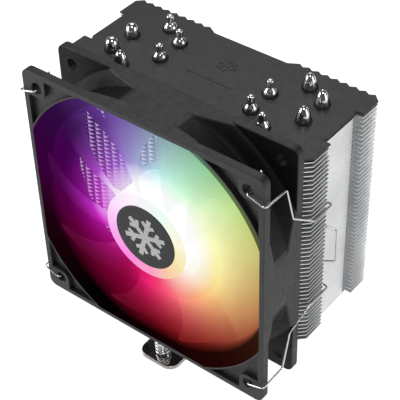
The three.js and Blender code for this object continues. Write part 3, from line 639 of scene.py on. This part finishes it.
DUCT_RADIUS = 57.9
DUCT_WAIST = 61.2
DUCT_REAR = 67.3
DUCT_INSET = 0.5  # the duct's own ends lie this far inside the flanges' faces
WAIST_RUN = (3.4, 4.1)  # where the outside narrows to the waist and where it widens again:
REAR_RUN = (15.5, 5.3)  # the depth at its start, and its length
MOUTH_RADIUS = 64.9
LIP_RADIUS = 65.8
FLARE_DEPTH = 9.0
FLANGE = 3.8
HOLE_SPACING = 105.0
HOLE_RADIUS = 2.5
CORNER_RADIUS = 3.75
PANEL_EDGE = 57.4
PAD_EDGE = 48.0
PAD_CORNER_RADIUS = 4.0
PANEL_DEPTH = 2.2
MOUNT_RADIUS = 22.6
MOUNT_WALL = 1.2
MOUNT_FRONT = 22.2
MOUNT_BACK = 24.6
STRUT_FRONT = 19.6
STRUT_HALF_WIDTH = 2.0
CABLE_STRUT_HALF_WIDTH = 4.4
CABLE_ANGLE = math.radians(232.5)
TUBE_RADIUS = 4.1
TUBE_BORE = 2.9
TUBE_FRONT = 5.5


def eased(t):
    return t * t * (3 - 2 * t)


def eased_run(start, end, front, length, steps=10):
    """Profile points whose radius goes smoothly from start to end over a length of depth."""
    shares = [i / steps for i in range(steps + 1)]
    return [(start + (end - start) * eased(t), front + length * t) for t in shares]


def duct_skin():
    """The duct's outside: wide under the front lip, a straight waist, and wide again at the rear flange."""
    lip, back, half = LIP_RADIUS - 0.05, FAN_DEPTH - DUCT_INSET, FAN_HALF - 0.05
    profile = [(0, DUCT_INSET), (lip, DUCT_INSET)]
    profile += eased_run(lip, DUCT_WAIST, *WAIST_RUN) + eased_run(DUCT_WAIST, DUCT_REAR, *REAR_RUN)
    profile += [(DUCT_REAR, back), (0, back)]
    limit = box_mesh((-half, -1, -half), (half, FAN_DEPTH + 1, half))
    return combined(turned(profile, 180), limit, "INTERSECT")


def air_passage():
    """The space inside the duct: a rounded mouth edge, a quarter-round flare and a straight throat."""
    front, back, half = -1, FAN_DEPTH + 1, DUCT_RADIUS
    profile = [(0, front), (MOUTH_RADIUS + 1, front), (MOUTH_RADIUS + 0.35, 0), (MOUTH_RADIUS + 0.1, 0.12),
               (MOUTH_RADIUS, 0.4)]
    for step in range(1, 8):
        t = step / 7
        flare = (1 - math.sqrt(1 - (1 - t) ** 2)) * (MOUTH_RADIUS - DUCT_RADIUS)
        profile.append((DUCT_RADIUS + flare * 0.98, 0.4 + (FLARE_DEPTH - 0.4) * t))
    edge = DUCT_RADIUS + 0.4
    profile += [(DUCT_RADIUS, back - 1.4), (edge, back - 1), (edge, back), (0, back)]
    limit = box_mesh((-half, front - 1, -half), (half, back + 1, half))
    return combined(turned(profile, 180), limit, "INTERSECT")


def sunk_panel(mirror_x, mirror_z):
    """One corner's recess, round the inside of the screw hole's pad, between the rim and the mouth's lip."""
    start = math.acos(PANEL_EDGE / LIP_RADIUS)
    pad_arc = PAD_EDGE + PAD_CORNER_RADIUS
    points = arc(0, 0, LIP_RADIUS, start, math.pi / 2 - start, 16)
    points += [(PAD_EDGE, PANEL_EDGE)] + arc(pad_arc, pad_arc, PAD_CORNER_RADIUS, math.pi, 1.5 * math.pi, 8)
    points += [(PANEL_EDGE, PAD_EDGE)]
    outline = [(x * mirror_x, z * mirror_z) for x, z in points]
    return prism(outline, -1, PANEL_DEPTH)


def prism(outline, front, back):
    """A closed prism with its outline in x and z and its length along the fan's depth."""
    count = len(outline)
    vertices = [(x, front, z) for x, z in outline] + [(x, back, z) for x, z in outline]
    sides = [(i, (i + 1) % count, count + (i + 1) % count, count + i) for i in range(count)]
    return mesh_from(vertices, [tuple(range(count)), tuple(range(count, 2 * count))] + sides)


def screw_hole_cutter(mirror_x, mirror_z):
    radius, edge = HOLE_RADIUS, HOLE_RADIUS + 0.35
    profile = [(0, -1), (edge, -1), (edge, 0), (radius, 0.35), (radius, FAN_DEPTH - 0.35), (edge, FAN_DEPTH),
               (edge, FAN_DEPTH + 1), (0, FAN_DEPTH + 1)]
    half = HOLE_SPACING / 2
    return turned(profile, 32, "Y", (mirror_x * half, 0, mirror_z * half))


def fan_frame():
    outline = rounded_rectangle(FAN_HALF, FAN_HALF, CORNER_RADIUS)
    body = fused(
        plate(outline, [], 0, FLANGE, 0.3, "XZ"),
        plate(outline, [], FAN_DEPTH - FLANGE, FAN_DEPTH, 0.35, "XZ"),
        duct_skin(),
    )
    corners = [(sx, sz) for sx in (-1, 1) for sz in (-1, 1)]
    body = cut_out(body, air_passage(), *[sunk_panel(*corner) for corner in corners],
                   *[screw_hole_cutter(*corner) for corner in corners])
    return cut_out(fused(body, *mount_pieces()), channel_cutter())


def channel_cutter():
    """The slot through the duct behind the wide strut, where the cables leave."""
    half = CABLE_STRUT_HALF_WIDTH - 0.2
    cutter = box_mesh((DUCT_RADIUS - 3, MOUNT_FRONT, -half), (FAN_HALF * 2, FAN_DEPTH + 1, half), 0.3)
    return moved(cutter, Matrix.Rotation(-CABLE_ANGLE, 4, "Y"))


def mount_pieces():
    """The struts, the motor's cup and the bearing tube; the cup's inside stays free of the struts."""
    cup_inside = MOUNT_RADIUS - MOUNT_WALL
    rim = STRUT_FRONT - 0.6
    cup = turned(
        [(0, MOUNT_FRONT), (cup_inside - 0.4, MOUNT_FRONT), (cup_inside, MOUNT_FRONT - 0.4),
         (cup_inside, rim + 0.2), (cup_inside + 0.2, rim), (MOUNT_RADIUS - 0.2, rim),
         (MOUNT_RADIUS, rim + 0.2), (MOUNT_RADIUS, MOUNT_BACK - 0.4), (MOUNT_RADIUS - 0.4, MOUNT_BACK),
         (0, MOUNT_BACK)], 96)
    seat = MOUNT_FRONT + 0.5
    tube = turned([(TUBE_BORE, TUBE_FRONT), (TUBE_RADIUS - 0.3, TUBE_FRONT), (TUBE_RADIUS, TUBE_FRONT + 0.3),
                   (TUBE_RADIUS, seat), (TUBE_BORE, seat)], 32)
    struts = []
    for quarter in range(4):
        half_width = STRUT_HALF_WIDTH if quarter else CABLE_STRUT_HALF_WIDTH
        bar = box_mesh((MOUNT_RADIUS - MOUNT_WALL / 2, STRUT_FRONT, -half_width),
                       (DUCT_RADIUS + 1.5, MOUNT_FRONT + 0.02, half_width), 0.6)
        struts.append(moved(bar, Matrix.Rotation(-(CABLE_ANGLE + quarter * math.pi / 2), 4, "Y")))
    return [cup, tube] + struts


def add_fan_part(name, mesh, *details, **options):
    return add_part(name, shifted(mesh, *FAN_ORIGIN), *details, **options)


frame_piece = add_fan_part("frame_moulding", fan_frame(), "fan_housing", "black_plastic", ["fan_frame"],
                           frame_plastic(), smooth=14)
MATERIALS["circuit_board"] = flooded_board(frame_piece)

# ---- impeller

HUB_BACK = 18.0
HUB_WALL = 1.7
HUB_FLOOR = 2.0
BADGE_RADIUS = 15.3
BLADES = 9
BLADE_TIP = 56.8
BLADE_SWEEP = 0.3  # radians by which the tip trails the root
BLADE_ARC = 0.8  # radians that a blade spans
BLADE_FRONT, BLADE_BACK = 2.6, 18
BLADE_CAMBER = 1.6
BLADE_THICKNESS = 1.5
TIP_START = 0.92  # the tip's corners are drawn in from here on


def hub_shell():
    inner, lip = HUB_RADIUS - HUB_WALL, BADGE_RADIUS + 0.3
    seat = HUB_FRONT + 0.5
    outside = rounded_profile([(0, seat), (lip, seat), (lip, HUB_FRONT), (HUB_RADIUS, HUB_FRONT),
                               (HUB_RADIUS, HUB_BACK)], 1.3, 5)
    return turned(outside + [(inner, HUB_BACK), (inner, HUB_FLOOR), (0, HUB_FLOOR)], 128)


def blade_section(along, root, chords):
    """The closed outline of a blade at a share of its length, thick in front and thin at the back."""
    radius = root + (BLADE_TIP - root) * along
    arc_length = BLADE_ARC - 0.06 * along
    if along > TIP_START:
        arc_length *= 1 - 0.05 * ((along - TIP_START) / (1 - TIP_START)) ** 2
    thickness = BLADE_THICKNESS - 0.5 * along
    lead, trail = BLADE_FRONT + 1.2 * along, BLADE_BACK - 1.8 * along
    outline = []
    for face in (-0.5, 0.5):
        for k in range(chords + 1):
            t = k / chords if face < 0 else 1 - k / chords
            angle = -BLADE_SWEEP * along * along + arc_length * (t - 0.5)
            camber = BLADE_CAMBER * math.sin(math.pi * t)
            edge = math.sqrt(max(0.0, 1 - (1 - min(1, t * 7)) ** 2)) * (1 - 0.72 * t ** 2) + 0.05
            depth = lead + (trail - lead) * t - camber + face * thickness * edge
            outline.append((radius * math.cos(angle), depth, radius * math.sin(angle)))
    return outline


def blade_mesh(spans=22, chords=18):
    """One swept, twisted blade with a rounded leading edge, a thin trailing edge and a softened tip."""
    rows = [blade_section(i / spans, HUB_RADIUS - 0.8, chords) for i in range(spans + 1)]
    count = len(rows[0])
    ends = [(base + k, base + k + 1, base + count - 2 - k, base + count - 1 - k)
            for k in range(chords) for base in (0, spans * count)]
    return mesh_from([v for row in rows for v in row], skin(len(rows), count) + ends)


def impeller():
    blades = [moved(blade_mesh(), Matrix.Rotation(-2 * math.pi * i / BLADES, 4, "Y")) for i in range(BLADES)]
    return fused(hub_shell(), *blades)


BRANCH_LEAN = math.radians(50)


def snowflake(reach, half_width, thickness):
    """A plain six-armed cooling symbol, standing on the plane y = 0."""
    arms = []
    for i in range(6):
        branches = [
            moved(box_mesh((-0.8 * half_width, 0, 0), (0.8 * half_width, thickness, 0.36 * reach)),
                  Matrix.Translation((0, 0, 0.52 * reach * MM)) @ Matrix.Rotation(lean, 4, "Y"))
            for lean in (BRANCH_LEAN, -BRANCH_LEAN)
        ]
        arm = fused(box_mesh((-half_width, 0, 0), (half_width, thickness, reach)), *branches)
        arms.append(moved(arm, Matrix.Rotation((i + 0.25) * math.pi / 3, 4, "Y")))
    return fused(*arms)


LIT_PLASTIC = lit_plastic(frame_piece)
add_fan_part("impeller_moulding", impeller(), "rotor", "milky_plastic", ["impeller"], LIT_PLASTIC, smooth=50)
BADGE_BACK = HUB_FRONT + 0.45
BADGE_PROFILE = [(0, HUB_FRONT), (BADGE_RADIUS - 0.2, HUB_FRONT), (BADGE_RADIUS, HUB_FRONT + 0.15),
                 (BADGE_RADIUS, BADGE_BACK), (0, BADGE_BACK)]
add_fan_part("badge_disc", turned(BADGE_PROFILE, 128), "rotor", "badge", ["hub_badge"])
add_fan_part("badge_symbol", shifted(snowflake(10.8, 1.15, 0.1), 0, HUB_FRONT - 0.06, 0), "rotor", "badge",
             material=MATERIALS["badge_mark"])

# ---- wire clips

CLIP_WIRE = 0.42
CLIP_BEND = 1.4
# The upper half of a clip's wire: its end behind the frame's flange, out through the screw hole, round
# the frame's edge and back along the side, into the fins' fold, and out to the bow that is pulled.
CLIP_HALF = [
    (52.6, 8, 56.2), (52.6, 8, 52.2), (52.6, -1.1, 51.6), (61.1, -1.1, 48.9), (61.1, 12.3, 48.4),
    (61.1, 17, 31), (63.2, 28.6, 22.6), (63.2, 41, 22.6), (60.1, 41, 22.3), (60.1, 41, 9.6),
    (65.1, 42.7, 8.3),
]


def clip_mesh(side):
    corners = CLIP_HALF + [(x, y, -z) for x, y, z in reversed(CLIP_HALF)]
    stations = bent_path([(side * x, y, z) for x, y, z in corners], CLIP_BEND)
    return swept(with_round_ends(stations, CLIP_WIRE), CLIP_WIRE, 14)


for side, clip in ((-1, "left_clip"), (1, "right_clip")):
    add_fan_part(clip + "_wire", clip_mesh(side), clip, "steel", [clip])

# ---- fins and top plate

FIN_COUNT = 45
FIN_THICKNESS = 0.4
FIN_TAB_HALF = 59.0
EAR_HALF = FIN_HIGH.x
EAR_CHAMFER = 3.0
FIN_FRONT = FIN_LOW.y
FIN_BACK = PLATE_HIGH.y
EAR_FRONT_END = -8.8
EAR_BACK_START = 13.8
EAR_BACK_END = 24.5
TAB_FRONT = -6.2
TAB_BACK = 11.3
BACK_STEP_X = 18.6
BACK_STEP_Y = FIN_BACK - 2.6
FRONT_TOOTH, BACK_TOOTH = 4.2, 4.5  # the saw edges' pitch
FIN_TEETH = (1.3, 1.1)  # the depth of the saw edges, front and back
PLATE_TEETH = (0, 1.3)
MARK_Y = 8.7


def pipe_columns():
    """(left x, right x, y) of each pipe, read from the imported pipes."""
    columns = []
    for name in PIPE_NODES:
        low, high = node_box(name)
        left, right = round(low.x + PIPE_RADIUS, 1), round(high.x - PIPE_RADIUS, 1)
        columns.append((left, right, (low.y + high.y) / 2))
    return columns


COLUMNS = pipe_columns()
PIPE_PLACES = [(x, y) for left, right, y in COLUMNS for x in (left, right)]


def saw_edge(start, y, end, depth, pitch):
    """Teeth along x from start to end: tips on y and notches depth behind it."""
    teeth = max(1, round(abs(end - start) / pitch))
    step = (end - start) / teeth
    points = []
    for i in range(teeth):
        points += [(start + step * i, y), (start + step * (i + 0.5), y + depth)]
    return points + [(end, y)]


# The right side of a fin, from the front ear past the folded tab to the rear ear.
SIDE_STEPS = [
    (EAR_HALF, FIN_FRONT + EAR_CHAMFER), (EAR_HALF, EAR_FRONT_END), (FIN_TAB_HALF - 1, EAR_FRONT_END),
    (FIN_TAB_HALF, EAR_FRONT_END + 2), (FIN_TAB_HALF, EAR_BACK_START), (EAR_HALF, EAR_BACK_START),
    (EAR_HALF, EAR_BACK_END),
]


def mirrored(points):
    return [(-x, y) for x, y in reversed(points)]


def stack_outline(front_depth, back_depth):
    """The outline of a fin or of the top plate, with saw-tooth edges of the given depths."""
    corner = EAR_HALF - EAR_CHAMFER
    front = [(-corner, FIN_FRONT), (corner, FIN_FRONT)]
    if front_depth:
        front = saw_edge(*front[0], corner, front_depth, FRONT_TOOTH)
    back = saw_edge(corner, FIN_BACK, BACK_STEP_X, -back_depth, BACK_TOOTH)[:-1]
    middle = [(BACK_STEP_X, BACK_STEP_Y), (-BACK_STEP_X, BACK_STEP_Y)]
    return front + SIDE_STEPS + back + middle + mirrored(back) + mirrored(SIDE_STEPS)


def pipe_holes(radius, segments):
    return [circle(x, y, radius, segments) for x, y in PIPE_PLACES]


def collar_rings(bottom, top):
    inner, outer = PIPE_RADIUS + 0.06, PIPE_RADIUS + 0.32
    profile = [(inner, bottom), (outer, bottom), (outer, top), (inner, top)]
    return [turned(profile, 12, "Z", (x, y, 0)) for x, y in PIPE_PLACES]


def fin_stack():
    """Equal fins, each with a folded tab at both sides and a collar round every pipe."""
    pitch = (FIN_HIGH.z - FIN_LOW.z - FIN_THICKNESS) / (FIN_COUNT - 1)
    fin = plate(stack_outline(*FIN_TEETH), pipe_holes(PIPE_RADIUS + 0.3, 20), 0, FIN_THICKNESS)
    tab_height = pitch - 0.28
    tabs = []
    for side in (-1, 1):
        inner, outer = sorted((side * (FIN_TAB_HALF - 0.35), side * (FIN_TAB_HALF + 0.12)))
        tabs.append(box_mesh((inner, TAB_FRONT, -tab_height), (outer, TAB_BACK, FIN_THICKNESS), 0.12, 1))
    one = fused(fin, *tabs, *collar_rings(-1.5, 0.1))
    copies = [shifted(one.copy(), 0, 0, FIN_LOW.z + i * pitch) for i in range(FIN_COUNT)]
    bpy.data.meshes.remove(one)
    stack = merged(copies)
    for vertex in stack.vertices:  # the lowest fin's tabs and collars don't hang below the stack
        vertex.co.z = max(vertex.co.z, FIN_LOW.z * MM)
    return stack


def top_plate():
    """The cover plate with raised rims round the pipes, and a plain symbol and bar in low relief."""
    inner, outer, foot, face = PIPE_RADIUS + 0.12, PIPE_RADIUS + 0.5, PLATE_LOW.z + 0.3, PLATE_HIGH.z
    sheet = plate(stack_outline(*PLATE_TEETH), pipe_holes(PIPE_RADIUS + 0.2, 40), PLATE_LOW.z, face, 0.2)
    rim = [(inner, foot), (outer, foot), (outer, face + 0.1), (outer - 0.15, face + 0.7),
           (inner, face + 0.85)]
    rims = [turned(rim, 40, "Z", (x, y, 0)) for x, y in PIPE_PLACES]
    symbol = moved(snowflake(4.6, 0.45, 0.5), Matrix.Rotation(math.pi / 2, 4, "X"))
    shifted(symbol, 0, MARK_Y, face - 0.32)
    bar = box_mesh((-12, MARK_Y - 12.2, face - 0.4), (12, MARK_Y - 11.2, face + 0.18), 0.15)
    return fused(sheet, *rims, symbol, bar)


add_part("fin_sheets", fin_stack(), "heatsink", "aluminium", ["fin_stack"], fin_aluminium(frame_piece), 25)
add_part("top_cover_plate", top_plate(), "heatsink", "black_plate", ["top_plate"], smooth=12)

# ---- heat pipes

PIPE_LEVEL = 5.0
PIPE_SHOULDER = 20.2
PIPE_BEND = 8.0
NIPPLE_HEIGHT = 6.0
PIPE_END = node_box(PIPE_NODES[0])[1].z - NIPPLE_HEIGHT
# The sealed tips, as (radius, height above the straight pipe's end).
TIPS = {
    "bullet": [(2.95, 0.6), (2.8, 1.5), (2.52, 2.5), (2.1, 3.6), (1.45, 4.8), (0.7, 5.55), (0.1, 5.8)],
    "dome": [(2.96, 0.7), (2.82, 1.6), (2.55, 2.5), (2.12, 3.4), (1.45, 4.15), (0.7, 4.5), (0.1, 4.6)],
    "nipple": [(2.88, 0.5), (2.5, 1.1), (2.0, 1.7), (1.62, 2.15), (1.5, 2.7), (1.46, 4.9), (1.3, 5.5),
               (0.8, 5.88), (0.1, NIPPLE_HEIGHT)],
}
TIP_KINDS = [("bullet", "nipple"), ("dome", "nipple"), ("nipple", "bullet"),
             ("dome", "nipple"), ("nipple", "bullet"), ("nipple", "bullet")]


def pipe_mesh(column, kinds):
    """A pipe bent to a U with slanting shoulders, from one sealed tip through the base to the other."""
    left, right, y = column
    foot = [PIPE_LEVEL + abs(x) - PIPE_SHOULDER for x in (left, right)]
    corners = [(left, y, PIPE_END), (left, y, foot[0]), (-PIPE_SHOULDER, y, PIPE_LEVEL),
               (PIPE_SHOULDER, y, PIPE_LEVEL), (right, y, foot[1]), (right, y, PIPE_END)]
    down, up = Vector((0, 0, -1)), Vector((0, 0, 1))
    head = [(Vector((left, y, PIPE_END + h)), down, r) for r, h in reversed(TIPS[kinds[0]])]
    tail = [(Vector((right, y, PIPE_END + h)), up, r) for r, h in TIPS[kinds[1]]]
    return swept(head + bent_path(corners, PIPE_BEND, 10) + tail, PIPE_RADIUS, 32)


for name, column, kinds in zip(PIPE_NODES, COLUMNS, TIP_KINDS):
    add_part(name + "_tube", pipe_mesh(column, kinds), "heatsink", "nickel", [name], smooth=60)

# ---- base, bar and screws

BAR_CORNER = 5.0
BAR_SCREW_Y = 21.4
SPRING_Y = node_centre("rear_spring").y
SPRING_RADIUS = 2.9
SPRING_WIRE = 0.6
SPRING_TURNS = 3.0
SPRING_STEPS = 28  # for each turn
THREAD_RADIUS, THREAD_ROOT = 1.5, 1.25
THREAD_HALF_PITCH = 0.25
THREAD_RIDGES = 18
SCREW_HEAD = 3.5


def bar_mesh():
    outline = rounded_rectangle(BAR_HIGH.x, BAR_HIGH.y, BAR_CORNER, 10)
    holes = [circle(0, side * y, r) for side in (-1, 1) for y, r in ((BAR_SCREW_Y, 1.8), (SPRING_Y, 2.0))]
    return plate(outline, holes, BAR_LOW.z, BAR_HIGH.z, 0.35)


def cross_cutter(y, top, depth, arm=1.7, half=0.45):
    """The cross recess in a screw's head."""
    return fused(box_mesh((-arm, y - half, top - depth), (arm, y + half, top + 1)),
                 box_mesh((-half, y - arm, top - depth), (half, y + arm, top + 1)))


def spring_screw_mesh(node):
    """A sprung screw: pointed, threaded foot, plain shank, and a head with a groove and a cross recess."""
    low, high = node_box(node)
    y, foot, top = (low.y + high.y) / 2, low.z + 0.5, high.z
    under = node_box(node.replace("screw", "washer"))[1].z
    thread = [(THREAD_RADIUS if k % 2 else THREAD_ROOT, foot + THREAD_HALF_PITCH * k)
              for k in range(1, THREAD_RIDGES + 1)]
    shank = [(THREAD_RADIUS, low.z + 5.4), (THREAD_RADIUS, under)]
    head = [(SCREW_HEAD - inset, under + height) for inset, height in
            ((0.25, 0), (0, 0.25), (0, 1.2), (0.2, 1.4), (0.2, 1.8), (0, 2.0))]
    crown = [(SCREW_HEAD - inset, top - drop) for inset, drop in ((0, 0.9), (0.25, 0.3), (0.8, 0))]
    profile = [(0, low.z), (1.0, low.z), (1.35, foot)] + thread + shank + head + crown + [(0, top)]
    return cut_out(turned(profile, 48, "Z", (0, y, 0)), cross_cutter(y, top, 2.2))


def bar_screw_mesh(node):
    low, high = node_box(node)
    y = (low.y + high.y) / 2
    seat = BAR_HIGH.z
    profile = rounded_profile([(0, low.z), (1.4, low.z), (1.4, seat), (2.75, seat), (2.75, high.z - 0.8),
                               (1.8, high.z), (0, high.z)], 0.3, 3)
    return cut_out(turned(profile, 40, "Z", (0, y, 0)), cross_cutter(y, high.z, 1.0))


def spring_mesh(node):
    """A compression spring whose turns lie closer together at both ends."""
    low, high = node_box(node)
    y = (low.y + high.y) / 2
    bottom, top = low.z + SPRING_WIRE, high.z - SPRING_WIRE
    whole_turn = 2 * math.pi * SPRING_TURNS
    slope = (top - bottom) / (whole_turn * SPRING_RADIUS)
    count = int(SPRING_TURNS * SPRING_STEPS)
    stations = []
    for i in range(count + 1):
        angle = whole_turn * (i / count)
        rise = bottom + (top - bottom) * eased(i / count * 0.9 + 0.05)
        point = Vector((SPRING_RADIUS * math.cos(angle), y + SPRING_RADIUS * math.sin(angle), rise))
        stations.append((point, Vector((-math.sin(angle), math.cos(angle), slope)).normalized()))
    return swept(stations, SPRING_WIRE, 12)


def block_mesh(node, corner=2, bevel=0.3):
    """The cold plate or its cap, with grooves for the pipes."""
    low, high = node_box(node)
    outline = rounded_rectangle((high.x - low.x) / 2, (high.y - low.y) / 2, corner)
    return cut_out(plate(outline, [], low.z, high.z, bevel), *groove_cutters(high.x + 1))


def groove_cutters(half_length):
    reach = PIPE_RADIUS + 0.1
    profile = [(0, -half_length), (reach, -half_length), (reach, half_length), (0, half_length)]
    along_x = Matrix.Rotation(math.pi / 2, 4, "Z")
    return [moved(turned(profile, 32), Matrix.Translation((0, y * MM, PIPE_LEVEL * MM)) @ along_x)
            for _, _, y in COLUMNS]


add_part("bar_strip", bar_mesh(), "heatsink", "dark_nickel", ["mounting_bar"], smooth=30)
add_part("cold_plate_block", block_mesh("cold_plate"), "heatsink", "nickel", ["cold_plate"], smooth=30)
add_part("base_cap_block", block_mesh("base_cap"), "heatsink", "aluminium", ["base_cap"], smooth=30)
for place in ("front", "rear"):
    bar_screw, screw, spring = place + "_bar_screw", place + "_spring_screw", place + "_spring"
    add_part(bar_screw + "_head", bar_screw_mesh(bar_screw), "heatsink", "steel", [bar_screw], smooth=30)
    add_part(screw + "_turned", spring_screw_mesh(screw), place + "_screw", "steel", [screw], smooth=30)
    coil = add_part(spring + "_coil", spring_mesh(spring), "heatsink", "steel", [spring], smooth=60)
    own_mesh(coil)

# ---- cables

CABLE_RADIUS = 1.2
CABLE_DEPTH = 23.55
CABLE_BEND = 6.0


def cable_route(side):
    """Corners of a cable's way along the wide strut, out through the duct and back to its plug."""
    shift, plug_x = side * 1.6, -52 + side * 5.6
    cos, sin = math.cos(CABLE_ANGLE), math.sin(CABLE_ANGLE)
    start, leave = [Vector((radius * cos - shift * sin, CABLE_DEPTH, radius * sin + shift * cos))
                    for radius in (MOUNT_RADIUS + 0.6, 76)]
    return [start, leave, ((leave.x + plug_x) / 2 + shift, CABLE_DEPTH + 8, -76.5),
            (plug_x, CABLE_DEPTH + 26, -78), (plug_x, CABLE_DEPTH + 38, -78)]


for side, cable in ((1, "fan_cable"), (-1, "lighting_cable")):
    sleeve = swept(bent_path(cable_route(side), CABLE_BEND, 10), CABLE_RADIUS)
    add_fan_part(cable + "_sleeve", sleeve, "fan_housing", "cable", [cable])

# ---- finishes of the CAD pieces that stay

STAYING = {
    "brass": ["bearing_sleeve"],
    "circuit_board": ["circuit_board"],
    "label": ["motor_label"],
    "magnet": ["rotor_magnet"],
    "black_plastic": ["shaft_retainer", "fan_plug", "lighting_plug"],
    "steel": ["stator_core", "rotor_yoke", "rotor_shaft", "front_screw_retainer", "rear_screw_retainer",
              "front_spring_washer", "rear_spring_washer"],
    "copper_wire": ["stator_coil_%d" % i for i in range(1, 5)],
    "led": ["led_%d" % i for i in range(1, 7)],
}
for slot, names in STAYING.items():
    for name in names:
        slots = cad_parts[name].data.materials
        slots.clear()
        slots.append(MATERIALS[slot])

# ---- stage, light and camera

CAMERA_PLACE = Vector((262.3, -331.5, 439.0))
CAMERA_TARGET = Vector((11.6, -25.6, 96.8))
CAMERA_ROLL = math.radians(-1.87)
CAMERA_LENS = 115.7
FLOOR_HALF = 3000
FLOOR_LEVEL = -1.2


def floor():
    """A pale floor that shows white to the camera, with a faint shadow under the cooler."""
    nodes = Nodes("pale floor")
    seen = nodes.add("ShaderNodeLightPath").outputs["Is Camera Ray"]
    nodes.shade({
        "Base Color": nodes.blend(nodes.span(nodes.noise(4, 2), 0, 1), grey(0.8), grey(0.83)),
        "Roughness": 0.9,
        "Emission Color": grey(1),
        "Emission Strength": nodes.plus(nodes.times(seen, 0.3), 0.5),
    })
    signs = ((-1, -1), (1, -1), (1, 1), (-1, 1))
    mesh = mesh_from([(x * FLOOR_HALF, y * FLOOR_HALF, FLOOR_LEVEL) for x, y in signs], [(0, 1, 2, 3)])
    mesh.materials.append(nodes.material)
    placed("studio_floor", mesh)


def area_light(name, place, target, size, watts):
    light = bpy.data.lights.new(name, "AREA")
    light.energy = watts
    light.size = size
    holder = placed(name, light)
    holder.location = place
    holder.rotation_euler = (Vector(target) - Vector(place)).to_track_quat("-Z", "Y").to_euler()
    return holder


def studio():
    """A dark room with a white backdrop and soft boxes around the cooler."""
    world = bpy.data.worlds.new("studio")
    bpy.context.scene.world = world
    world.use_nodes = True
    tree = world.node_tree
    background = tree.nodes["Background"]
    background.inputs["Color"].default_value = grey(1)
    light_path = tree.nodes.new("ShaderNodeLightPath")
    strength = tree.nodes.new("ShaderNodeMapRange")
    strength.inputs["To Min"].default_value = 0.08
    strength.inputs["To Max"].default_value = 1.0
    tree.links.new(light_path.outputs["Is Camera Ray"], strength.inputs["Value"])
    tree.links.new(strength.outputs["Result"], background.inputs["Strength"])
    middle = (0, 0, 0.09)
    area_light("overhead", (-0.35, 0.45, 1.0), middle, 0.9, 4)
    area_light("front_left", (-0.85, -0.7, 0.35), middle, 0.7, 6)
    area_light("right", (1.05, 0.25, 0.4), middle, 0.7, 2.5)
    sparkle = area_light("sparkle", (0.5, -0.6, 1.2), middle, 0.35, 5)
    sparkle.visible_diffuse = False
    bpy.context.scene.view_settings.view_transform = "Standard"


def camera():
    data = bpy.data.cameras.new("camera")
    data.lens = CAMERA_LENS
    data.sensor_width = 36
    data.clip_start = 0.01
    holder = placed("camera", data)
    aim = (CAMERA_TARGET - CAMERA_PLACE).to_track_quat("-Z", "Y").to_matrix().to_4x4()
    holder.matrix_world = Matrix.Translation(CAMERA_PLACE * MM) @ aim @ Matrix.Rotation(CAMERA_ROLL, 4, "Z")
    bpy.context.scene.camera = holder


floor()
studio()
camera()
